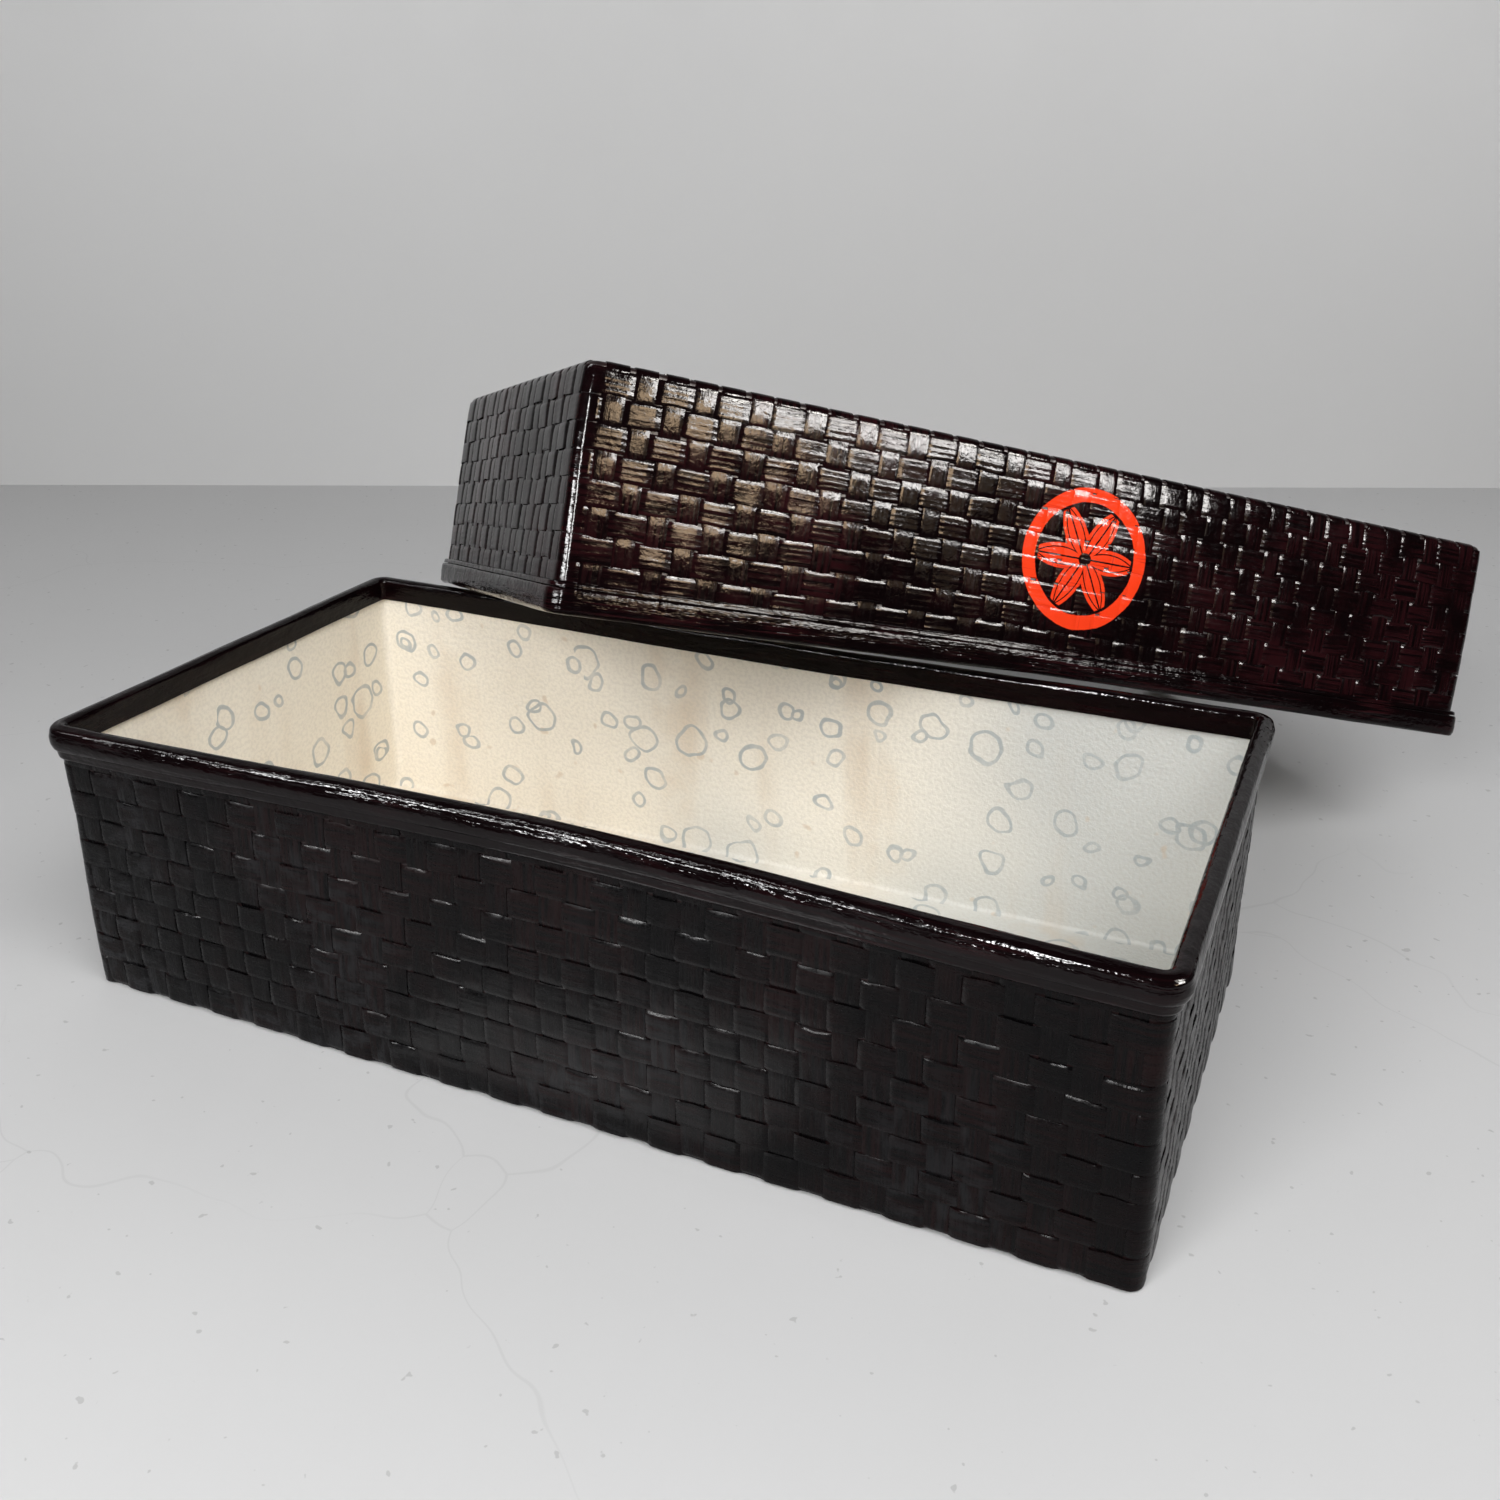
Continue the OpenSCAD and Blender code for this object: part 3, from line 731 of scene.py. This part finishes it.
class Shader:
    """A material's nodes, with short ways to add and join them."""

    def __init__(self, name):
        self.material = bpy.data.materials.new(name)
        self.material.use_nodes = True
        self.nodes, self.links = self.material.node_tree.nodes, self.material.node_tree.links
        self.base = self.nodes["Principled BSDF"]

    def add(self, kind, inputs=None, **settings):
        node = self.nodes.new(kind)
        for key, value in settings.items():
            setattr(node, key, value)
        for key, value in (inputs or {}).items():
            self.put(node.inputs[key], value)
        return node

    def put(self, socket, value):
        if isinstance(value, bpy.types.NodeSocket):
            self.links.new(value, socket)
        else:
            socket.default_value = value

    def finish(self, **values):
        """Sets the shader's own sockets: base_color for Base Color, and so on."""
        for key, value in values.items():
            self.put(self.base.inputs[key.replace("_", " ").title().replace("Ior", "IOR")], value)
        return self.material

    def math(self, operation, *values, clamp=False):
        node = self.add("ShaderNodeMath", operation=operation, use_clamp=clamp)
        for socket, value in zip(node.inputs, values):
            self.put(socket, value)
        return node.outputs[0]

    def times(self, first, second, clamp=False):
        return self.math("MULTIPLY", first, second, clamp=clamp)

    def plus(self, first, second, clamp=False):
        return self.math("ADD", first, second, clamp=clamp)

    def minus(self, first, second):
        return self.math("SUBTRACT", first, second)

    def distance(self, across, up):
        """How far a point is from zero: the root of the sum of two squares."""
        squares = [self.math("POWER", value, 2.0) for value in (across, up)]
        return self.math("SQRT", self.plus(*squares))

    def vector(self, operation, first, second):
        """Arithmetic on vectors. To scale one, the second value is a number."""
        key = "Scale" if operation == "SCALE" else 1
        inputs = {0: first, key: second}
        return self.add("ShaderNodeVectorMath", inputs, operation=operation).outputs[0]

    def smooth(self, value, low, high, start=0.0, end=1.0):
        """Runs smoothly from start to end as a value goes from low to high."""
        node = self.add("ShaderNodeMapRange", {"Value": value, "From Min": low, "From Max": high,
                                               "To Min": start, "To Max": end},
                        interpolation_type="SMOOTHSTEP")
        return node.outputs["Result"]

    def mix(self, share, first, second):
        node = self.add("ShaderNodeMix", data_type="RGBA")
        self.put(node.inputs[0], share)
        self.put(node.inputs[6], first)
        self.put(node.inputs[7], second)
        return node.outputs[2]

    def uv(self, name):
        return self.add("ShaderNodeUVMap", uv_map=name).outputs[0]

    def object_place(self):
        return self.add("ShaderNodeTexCoord").outputs["Object"]

    def noise(self, vector, scale, detail=3.0, roughness=0.5, distortion=0.0):
        node = self.add("ShaderNodeTexNoise", {"Vector": vector, "Scale": scale, "Detail": detail,
                                               "Roughness": roughness, "Distortion": distortion})
        return node.outputs["Fac"]

    def within(self, value, limit, edge):
        """1 where a value is under a limit and 0 over it, with a soft edge."""
        return self.smooth(value, limit - edge, limit + edge, 1.0, 0.0)

    def wander(self, vector, scale, detail):
        """A slow noise with a value of its own for each direction."""
        inputs = {"Vector": vector, "Scale": scale, "Detail": detail}
        return self.add("ShaderNodeTexNoise", inputs).outputs["Color"]

    def grain(self, vector, scale, *settings):
        """Noise stretched by a scale of its own for each direction."""
        stretched = self.add("ShaderNodeMapping", {"Vector": vector, "Scale": scale})
        return self.noise(stretched.outputs[0], 1.0, *settings)

    def bumps(self, *layers):
        """Layers of bump over one another, each a height and its depth."""
        normal = None
        for height, depth in layers:
            normal = self.bump(height, depth, 1.0, normal)
        return normal

    def bump(self, height, distance, strength=1.0, normal=None):
        inputs = {"Height": height, "Distance": distance, "Strength": strength}
        node = self.add("ShaderNodeBump", inputs)
        if normal is not None:
            self.put(node.inputs["Normal"], normal)
        return node.outputs["Normal"]

    def apart(self, vector):
        return tuple(self.add("ShaderNodeSeparateXYZ", {"Vector": vector}).outputs)


LACQUER_DARK = (0.0028, 0.0011, 0.0014, 1)
LACQUER_RED = (0.017, 0.0036, 0.0046, 1)
LACQUER_BLACK = (0.0018, 0.0016, 0.0019, 1)
LACQUER_DULL_RED = (0.0075, 0.0028, 0.0030, 1)
# Grey of the painted sheen on the base's satin weave, standing in for the floor's reflection
PAINTED_SHEEN_GREY = (0.0135, 0.0134, 0.0146, 1)
VERMILION = (0.93, 0.052, 0.012, 1)
VERMILION_WORN = (0.62, 0.03, 0.012, 1)

# The painted ring on the lid's front, and the six petals in it
ROUNDEL_HEIGHT = 0.081
RING_OUTER, RING_INNER = 0.0595, 0.0475
PETAL, PETAL_FULLNESS = 0.045, 1.1
PETAL_LINE = 0.0034
PAINT_EDGE = 0.0004
PAINT_WOBBLE = 0.0016


def roundel_mask(shader):
    """Paint on the lid's front: a ring, and in it six petals drawn with compasses. Each petal is
    the overlap of two circles, so with the angle folded into one petal's half a point lies in it
    when it is nearer than one radius to the circle's centre. A fine line parts each petal, and
    another follows its outline."""
    wall = shader.uv("wall")
    across, up, _ = shader.apart(wall)
    up = shader.minus(up, ROUNDEL_HEIGHT)
    wobble = shader.minus(shader.noise(wall, 60.0, 2.0), 0.5)
    radius = shader.plus(shader.distance(across, up), shader.times(wobble, PAINT_WOBBLE))
    ring = shader.times(shader.smooth(radius, RING_INNER - PAINT_EDGE, RING_INNER + PAINT_EDGE),
                        shader.within(radius, RING_OUTER, PAINT_EDGE))
    sixth = math.pi / 3
    folded = shader.math("WRAP", shader.math("ARCTAN2", up, across), sixth / 2, -sixth / 2)
    along = shader.times(radius, shader.math("COSINE", folded))
    aside = shader.math("ABSOLUTE", shader.times(radius, shader.math("SINE", folded)))
    reach = shader.distance(shader.minus(along, PETAL * math.cos(sixth)),
                            shader.plus(aside, PETAL * math.sin(sixth)))
    fuller = PETAL * PETAL_FULLNESS
    vein = shader.math("ABSOLUTE", shader.minus(reach, fuller - PETAL_LINE))
    petals = shader.within(reach, fuller, PAINT_EDGE)
    for mask in (shader.smooth(vein, 0.0003, 0.0007), shader.within(radius, PETAL, PAINT_EDGE),
                 shader.smooth(aside, 0.0005, 0.0009), shader.smooth(radius, 0.005, 0.0055)):
        petals = shader.times(petals, mask)
    return shader.math("MAXIMUM", ring, petals)


def woven_lacquer(name, dark, red, gloss, sheen_painted, painted):
    """Very dark maroon lacquer over split bamboo. Fibres lie along each strip, brush marks run
    down the walls, and the gloss breaks up over shallow pools and flakes. Where sheen is
    painted, a grey painted sheen that stands in for the floor's reflection is smeared along
    the strips, more of it towards the foot and the left. gloss holds the roughness of the
    smooth and of the dull places, what fine streaks and blots add to it, the strength of the
    reflection, and the depths of the fibres, flakes, brush marks and pools."""
    smooth_places, dull_places, worn_roughness, specular = gloss[:4]
    fibre_depth, flake_depth, brush_depth, pool_depth = gloss[4:]
    shader = Shader(name)
    strip = shader.uv("strip")
    place = shader.object_place()
    fibres = shader.grain(strip, (40, 900, 1), 3.0, 0.6)
    coarse = shader.grain(strip, (14, 330, 1), 2.0, 0.5)
    brush = shader.grain(shader.uv("wall"), (420, 26, 1), 3.0, 0.6, 0.3)
    pools = shader.noise(place, 42.0, 3.0, 0.55)
    flakes = shader.noise(place, 210.0, 2.0, 0.6, 0.8)
    patches = shader.noise(place, 9.0, 3.0, 0.6)
    share = shader.times(shader.smooth(coarse, 0.36, 0.62), shader.smooth(patches, 0.4, 0.66))
    share = shader.plus(share, shader.times(shader.smooth(pools, 0.45, 0.75), 0.3), clamp=True)
    colour = shader.mix(share, dark, red)
    # Painted sheen: grey colour that stands in for the floor's reflection, more of it low and to the
    # left
    if sheen_painted:
        rightwards, _, height = shader.apart(place)
        lowness = shader.math("MULTIPLY_ADD", height, -1.0, 0.08)
        lowness = shader.math("MULTIPLY_ADD", rightwards, -0.4, lowness)
        cloud = shader.plus(shader.noise(place, 4.5, 2.0, 0.5), lowness)
        smear = shader.grain(strip, (38, 110, 1), 2.0, 0.5)
        smear = shader.math("MULTIPLY_ADD", brush, 0.35, smear)
        painted_sheen = shader.times(shader.smooth(cloud, 0.45, 0.7), shader.smooth(smear, 0.6, 0.85))
        colour = shader.mix(painted_sheen, colour, PAINTED_SHEEN_GREY)
    if painted:
        mask = roundel_mask(shader)
        paint = shader.mix(shader.smooth(coarse, 0.25, 0.4), VERMILION_WORN, VERMILION)
        colour = shader.mix(mask, colour, paint)
    dullness = shader.plus(shader.times(brush, 0.5), shader.times(patches, 0.5))
    rough = shader.smooth(dullness, 0.38, 0.6, smooth_places, dull_places)
    streaks = shader.smooth(shader.grain(strip, (55, 560, 1), 3.0, 0.65), 0.5, 0.58)
    blots = shader.smooth(shader.noise(place, 230.0, 3.0, 0.65, 0.5), 0.52, 0.6)
    worn = shader.math("MAXIMUM", streaks, blots)
    rough = shader.math("MULTIPLY_ADD", worn, worn_roughness, rough)
    normal = shader.bumps((fibres, fibre_depth), (coarse, 2.5 * fibre_depth), (brush, brush_depth),
                          (flakes, flake_depth), (pools, pool_depth))
    return shader.finish(base_color=colour, roughness=rough, specular_ior_level=specular, normal=normal)


def rim_lacquer(name, reddest, specular):
    """Near-black lacquer over wrapped bands: wrinkles run lengthwise, with pimples between, and
    the red shows through along the wrinkles."""
    shader = Shader(name)
    ring = shader.uv("strip")
    wrinkles = shader.grain(ring, (16, 330, 1), 3.0, 0.55, 0.5)
    pimples = shader.grain(ring, (130, 260, 1), 2.0, 0.6)
    place = shader.object_place()
    pools = shader.noise(place, 55.0, 3.0)
    patches = shader.noise(place, 12.0, 2.0)
    share = shader.times(shader.smooth(wrinkles, 0.45, 0.7), shader.smooth(patches, 0.35, 0.7))
    colour = shader.mix(shader.times(share, reddest, clamp=True), LACQUER_DARK, LACQUER_RED)
    rough = shader.smooth(pools, 0.3, 0.75, 0.06, 0.16)
    normal = shader.bumps((wrinkles, 0.0003), (pimples, 0.0004), (pools, 0.0008))
    return shader.finish(base_color=colour, roughness=rough, specular_ior_level=specular, normal=normal)


PAPER_CREAM = (0.93, 0.865, 0.745, 1)
# Painted shade on the lining, darker and cooler than the cream
PAPER_SHADED = (0.62, 0.625, 0.595, 1)
PAPER_STAIN = (0.62, 0.46, 0.30, 1)
PRINT_BLUE = (0.35, 0.395, 0.41, 1)
# Painted shade in the hollows of the paper's grain
PAPER_HOLLOW_SHADE = (0.52, 0.48, 0.42, 1)

# How far the printed rings are bent, and half the width of their line
RING_BEND = 0.014
RING_LINE = 0.0011


def printed_rings(shader, sheet, cells_per_metre, seed, kept_over):
    """Loose hand-drawn rings: each cell of a cellular pattern has one ring round its own point,
    with its own radius, and its line is bent by a slow noise."""
    bend = shader.vector("SUBTRACT", shader.wander(sheet, 42.0, 1.0), (0.5, 0.5, 0.5))
    place = shader.vector("ADD", sheet, shader.vector("SCALE", bend, RING_BEND))
    place = shader.vector("ADD", place, (seed, seed * 1.7, 0))
    cells = shader.add("ShaderNodeTexVoronoi", {"Vector": place, "Scale": cells_per_metre,
                                                "Randomness": 0.85}, voronoi_dimensions="2D")
    red, green, _ = shader.apart(cells.outputs["Color"])
    radius = shader.plus(shader.times(shader.math("POWER", red, 1.5), 0.16), 0.12)
    gap = shader.math("ABSOLUTE", shader.minus(cells.outputs["Distance"], radius))
    half_line = RING_LINE * cells_per_metre
    line = shader.smooth(gap, half_line, half_line * 1.9, 1.0, 0.0)
    return shader.times(line, shader.math("GREATER_THAN", green, kept_over))


def printed_paper():
    """Cream paper with a leathery grain, a loose print of blue-grey rings, brown age stains
    that have run down the walls, and a few small spots. It is painted darker and cooler in
    patches towards the right, as shade, and a little darker in the hollows of its grain, as
    shade."""
    shader = Shader("printed_paper")
    sheet = shader.uv("paper")
    place = shader.object_place()
    rings = shader.math("MAXIMUM", printed_rings(shader, sheet, 18.0, 0.31, 0.25),
                        printed_rings(shader, sheet, 26.0, 1.57, 0.6))
    faded = shader.smooth(shader.noise(sheet, 26.0, 4.0, 0.6), 0.3, 0.6, 0.35, 0.8)
    rightwards = shader.times(shader.apart(place)[0], 0.5)
    # Painted shade: the paper turns darker and cooler in patches towards the right; warm is the share
    # left unshaded
    warm = shader.smooth(shader.minus(shader.noise(place, 2.6, 1.0), rightwards), 0.3, 0.6)
    colour = shader.mix(warm, PAPER_SHADED, PAPER_CREAM)
    runs = shader.grain(place, (12, 12, 1.2), 3.0, 0.55)
    clouds = shader.noise(place, 8.0, 4.0, 0.62)
    stain = shader.times(shader.smooth(runs, 0.46, 0.7), shader.smooth(clouds, 0.36, 0.66))
    colour = shader.mix(shader.times(stain, 0.55), colour, PAPER_STAIN)
    spots = shader.smooth(shader.noise(place, 52.0, 1.0), 0.73, 0.8, 0.0, 0.45)
    colour = shader.mix(spots, colour, PAPER_STAIN)
    colour = shader.mix(shader.times(rings, faded), colour, PRINT_BLUE)
    grain = shader.noise(sheet, 300.0, 2.0, 0.55)
    # Painted shade: the paper is a little darker in the hollows of its grain
    colour = shader.mix(shader.smooth(grain, 0.35, 0.6, 0.2, 0.0), colour, PAPER_HOLLOW_SHADE)
    swell = shader.noise(place, 26.0, 2.0)
    normal = shader.bump(grain, 0.001, 0.8, shader.bump(swell, 0.003, 0.25))
    return shader.finish(base_color=colour, roughness=0.6, normal=normal)


def paper_back():
    """The paper's back and the filling between the strips, soaked with lacquer."""
    shader = Shader("lacquered_paper_back")
    speckle = shader.noise(shader.object_place(), 150.0, 3.0)
    colour = shader.mix(speckle, (0.0025, 0.001, 0.001, 1), LACQUER_RED)
    normal = shader.bump(speckle, 0.0006)
    return shader.finish(base_color=colour, roughness=0.4, specular_ior_level=0.3, normal=normal)


# Smooth and dull places' roughness, what streaks add, reflection, and the depths of the fibres,
# flakes, brush marks and pools
BASE_GLOSS = (0.19, 0.28, 0.12, 0.09, 0.00005, 0.00014, 0.00018, 0.0008)
LID_GLOSS = (0.05, 0.08, 0.08, 0.11, 0.00002, 0.00013, 0.00003, 0.0002)
base_weave = woven_lacquer("woven_lacquer_satin", LACQUER_BLACK, LACQUER_DULL_RED, BASE_GLOSS,
                           sheen_painted=True, painted=False)
lid_weave = woven_lacquer("woven_lacquer_gloss", LACQUER_DARK, LACQUER_RED, LID_GLOSS,
                          sheen_painted=False, painted=True)
base_rim_finish = rim_lacquer("rim_lacquer_dark", reddest=0.6, specular=0.16)
lid_rim_finish = rim_lacquer("rim_lacquer_red", reddest=2.6, specular=0.08)
paper_finish = printed_paper()
back_finish = paper_back()


def dress(piece, half, slot, nodes, *finishes):
    """Gives a piece its finishes and its body, and hides the CAD nodes that it stands for. The
    slot is not used.
    """
    for finish in finishes:
        piece.data.materials.append(finish)
    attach(piece, half.name)
    if nodes:
        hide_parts(*[f"{half.name}_{node}" for node in nodes])


def dress_half(half, weave, rim_finish, bottom_name, wrinkle_lengths):
    """All the pieces of one half."""
    weave_line = WallLine(half, per_column=11, per_corner=7)
    rim_line = WallLine(half, per_column=7, per_corner=8)
    filling_line = WallLine(half, per_column=4, per_corner=5)
    paper_line = WallLine(half, per_column=2, per_corner=5)
    for row in range(1, half.rows + 1):
        dress(band(half, weave_line, row), half, "lacquered_weave", [f"band_{row}"], weave)
    for wall in range(4):
        dress(uprights(half, wall), half, "lacquered_weave", [f"{WALL_NAMES[wall]}_uprights"], weave)
    long_strips = mat_strips(half, "long_strips", 0, SWING - UPRIGHT_CROWN)
    dress(long_strips, half, "lacquered_weave", ["long_strips"], weave)
    dress(mat_strips(half, "cross_strips", 1, 0.0), half, "lacquered_weave", ["cross_strips"], weave)
    dress(lacquer_filling(half, filling_line), half, "lacquered_weave", [], back_finish)
    rim = rim_ring(half, rim_line, "wrapped_rim", rim_section(half), 0.0006, wrinkle_lengths)
    dress(rim, half, "lacquered_rim", ["outer_rim", "rim_binding", "inner_rim"], rim_finish)
    bead = rim_ring(half, rim_line, "rim_bead", bead_section(half), 0.0004, (0.2, 0.05))
    dress(bead, half, "lacquered_rim", ["rim_splint"], rim_finish)
    sheets = [f"{wall}_lining" for wall in WALL_NAMES] + [f"{bottom_name}_lining", "corner_linings"]
    dress(lining_piece(half, paper_line), half, "lining_paper", sheets, paper_finish, back_finish)


dress_half(base, base_weave, base_rim_finish, "floor", (0.16, 0.06, 0.025))
dress_half(lid, lid_weave, lid_rim_finish, "top", (0.2, 0.08, 0.03))


# Camera, room and lights

CAMERA_PLACE = Vector((0.4896, -0.9319, 0.6834))
CAMERA_FORWARD = Vector((-0.3726, 0.8308, -0.4133))
CAMERA_RIGHT = Vector((0.9121, 0.41, 0.002))
CAMERA_LENS, CAMERA_SENSOR = 35.48, 36.0
ROOM_DEPTH, ROOM_REACH, WALL_HEIGHT = 2.68, 8.0, 5.0


def add_camera():
    """A camera from its place and its forward and right directions."""
    forward = CAMERA_FORWARD.normalized()
    right = (CAMERA_RIGHT - forward * CAMERA_RIGHT.dot(forward)).normalized()
    up = right.cross(forward)
    data = bpy.data.cameras.new("camera")
    data.lens, data.sensor_width, data.sensor_fit = CAMERA_LENS, CAMERA_SENSOR, "HORIZONTAL"
    camera = add_object("camera", data)
    turn = Matrix((right, up, -forward)).transposed().to_4x4()
    camera.matrix_world = Matrix.Translation(CAMERA_PLACE) @ turn
    bpy.context.scene.camera = camera


MARK_GREY = (0.25, 0.25, 0.25, 1)


def shade_of(colour, share):
    return tuple(c * share for c in colour[:3]) + (1,)


def stage_material(name, colour, cracks, fade_height):
    """Pale painted concrete: faint clouds, small marks and hair cracks. Below the fade's height
    it is darker: on a wall that is painted shade towards its foot, and on the floor an even
    darker tone all over."""
    shader = Shader(name)
    place = shader.object_place()
    clouds = shader.noise(place, 1.6, 5.0, 0.55)
    darker = shade_of(colour, 0.94)
    tint = shader.mix(shader.smooth(clouds, 0.3, 0.7), darker, colour)
    fade = shader.smooth(shader.apart(place)[2], 0.001, fade_height, 1.0, 0.0)
    # Painted shade: a wall is darkened towards its foot here, while the floor, all below the fade
    # height, is just darker all over
    tint = shader.mix(fade, tint, shade_of(colour, 0.8))
    tint = shader.mix(shader.smooth(clouds, 0.3, 0.7, 0.12, 0.0), tint, darker)
    specks = shader.smooth(shader.noise(place, 90.0, 2.0), 0.7, 0.73, 0.0, cracks * 3)
    tint = shader.mix(specks, tint, MARK_GREY)
    shift = shader.vector("SCALE", shader.wander(place, 3.0, 3.0), 0.35)
    cells = shader.add("ShaderNodeTexVoronoi", {"Vector": shader.vector("ADD", place, shift),
                                                "Scale": 1.7}, feature="DISTANCE_TO_EDGE")
    crack = shader.smooth(cells.outputs["Distance"], 0.0005, 0.0022, cracks, 0.0)
    crack = shader.times(crack, shader.smooth(shader.noise(place, 2.3, 2.0), 0.4, 0.55))
    tint = shader.mix(crack, tint, MARK_GREY)
    normal = shader.bump(shader.noise(place, 30.0, 4.0), 0.002, 0.15)
    return shader.finish(base_color=tint, roughness=0.7, specular_ior_level=0.25, normal=normal)


def plane(name, corners, material):
    """A flat sheet of the stage, from its four corners."""
    mesh = bpy.data.meshes.new(name)
    mesh.from_pydata(corners, [], [(0, 1, 2, 3)])
    mesh.materials.append(material)
    sheet = add_object(name, mesh)
    return sheet


def add_dark_screen():
    """A low dark screen to the right, seen only in the lacquer's reflections."""
    black = Shader("black_cloth").finish(base_color=(0.01, 0.01, 0.01, 1), roughness=1.0)
    x, near, far, low, top = 2.3, -2.0, 4.0, 0.001, 0.62
    corners = [(x, near, low), (x, far, low), (x, far, top), (x, near, top)]
    screen = plane("dark_screen", corners, black)
    screen.visible_camera = False
    screen.visible_diffuse = False
    screen.visible_shadow = False


def add_room():
    """A floor, and a wall square to the way the camera looks."""
    reach = ROOM_REACH
    floor_finish = stage_material("floor_paint", (0.738, 0.738, 0.742, 1), 0.13, 0.002)
    wall_finish = stage_material("wall_paint", (0.79, 0.79, 0.79, 1), 0.0, 1.1)
    corners = [(-reach, -reach, 0), (reach, -reach, 0), (reach, reach, 0), (-reach, reach, 0)]
    plane("floor", corners, floor_finish)
    away = Vector((CAMERA_FORWARD.x, CAMERA_FORWARD.y, 0)).normalized()
    foot = Vector((CAMERA_PLACE.x, CAMERA_PLACE.y, 0)) + away * ROOM_DEPTH
    aside = Vector((-away.y, away.x, 0)) * reach
    top = Vector((0, 0, WALL_HEIGHT))
    plane("wall", [foot + aside, foot - aside, foot - aside + top, foot + aside + top], wall_finish)


def add_lamp(name, place, target, size, power, colour=(1, 1, 1), roll=0.0, glossy_only=False):
    """An area lamp that looks from its place to a target, rolled about that line. A lamp that is
    glossy only shows in reflections and lights nothing else, and any other one doesn't show in
    them."""
    data = bpy.data.lights.new(name, "AREA")
    data.shape, data.size, data.size_y, data.energy = "RECTANGLE", size[0], size[1], power
    data.color = colour
    lamp = add_object(name, data)
    direction = Vector(target) - Vector(place)
    turn = direction.to_track_quat("-Z", "Y").to_matrix().to_4x4()
    lamp.matrix_world = Matrix.Translation(place) @ turn @ Matrix.Rotation(roll, 4, "Z")
    lamp.visible_camera = False
    lamp.visible_diffuse = not glossy_only
    lamp.visible_glossy = glossy_only


def add_world(strength):
    world = bpy.data.worlds.new("soft_room")
    world.use_nodes = True
    background = world.node_tree.nodes["Background"]
    background.inputs["Color"].default_value = (1, 1, 1, 1)
    background.inputs["Strength"].default_value = strength
    bpy.context.scene.world = world


add_camera()
add_room()
add_dark_screen()
add_world(0.04)
add_lamp("soft_light", (1.7, -1.1, 2.5), (0.6, -0.2, 0), (2.4, 1.4), 70)
add_lamp("front_light", (-0.1, -2.0, 1.5), (0.0, 0.2, 0.2), (1.0, 0.8), 38)

# Lamps seen only in the lacquer: name, place, target, size and power
GLINTS = (
    ("floor_glint", (0.0, -0.3, 0.003), (0.0, -0.3, 1.0), (0.3, 0.15), 0.16),
    ("strip_glint", (-2.0, -1.3, 2.5), (-2.0, 0.0, 0.2), (2.4, 0.12), 42),
    ("corner_glint", (-0.1, -1.9, 1.32), (-0.3, 0.2, 0.3), (0.16, 0.8), 66),
    ("rim_glint", (-1.0, -1.8, 1.1), (0.0, -0.2, 0.23), (1.0, 0.2), 70),
)
for name, place, target, size, power in GLINTS:
    add_lamp(name, place, target, size, power, glossy_only=True)

# Windows to the right, rolled to lie along the lid: the same values, and the light's colour
LID_FRONT = (0.1, 0.25, 0.35)
WINDOW_ROLL = math.radians(-27)
WARM = (1, 0.72, 0.46)
WINDOWS = (
    ("side_window", (2.4, -0.3, 1.2), LID_FRONT, (1.1, 0.17), 60, (1, 0.97, 0.95)),
    ("edge_glint", (2.4, -0.3, 1.56), LID_FRONT, (1.05, 0.12), 66, (1, 0.96, 0.9)),
    ("warm_window", (2.4, -0.95, 1.3), LID_FRONT, (0.5, 0.3), 17, WARM),
    ("warm_glow", (2.4, -0.65, 1.0), (0.0, 0.2, 0.4), (1.1, 0.26), 1.8, WARM),
)
for name, place, target, size, power, colour in WINDOWS:
    add_lamp(name, place, target, size, power, colour, WINDOW_ROLL, glossy_only=True)
bpy.context.scene.view_settings.view_transform = "Standard"
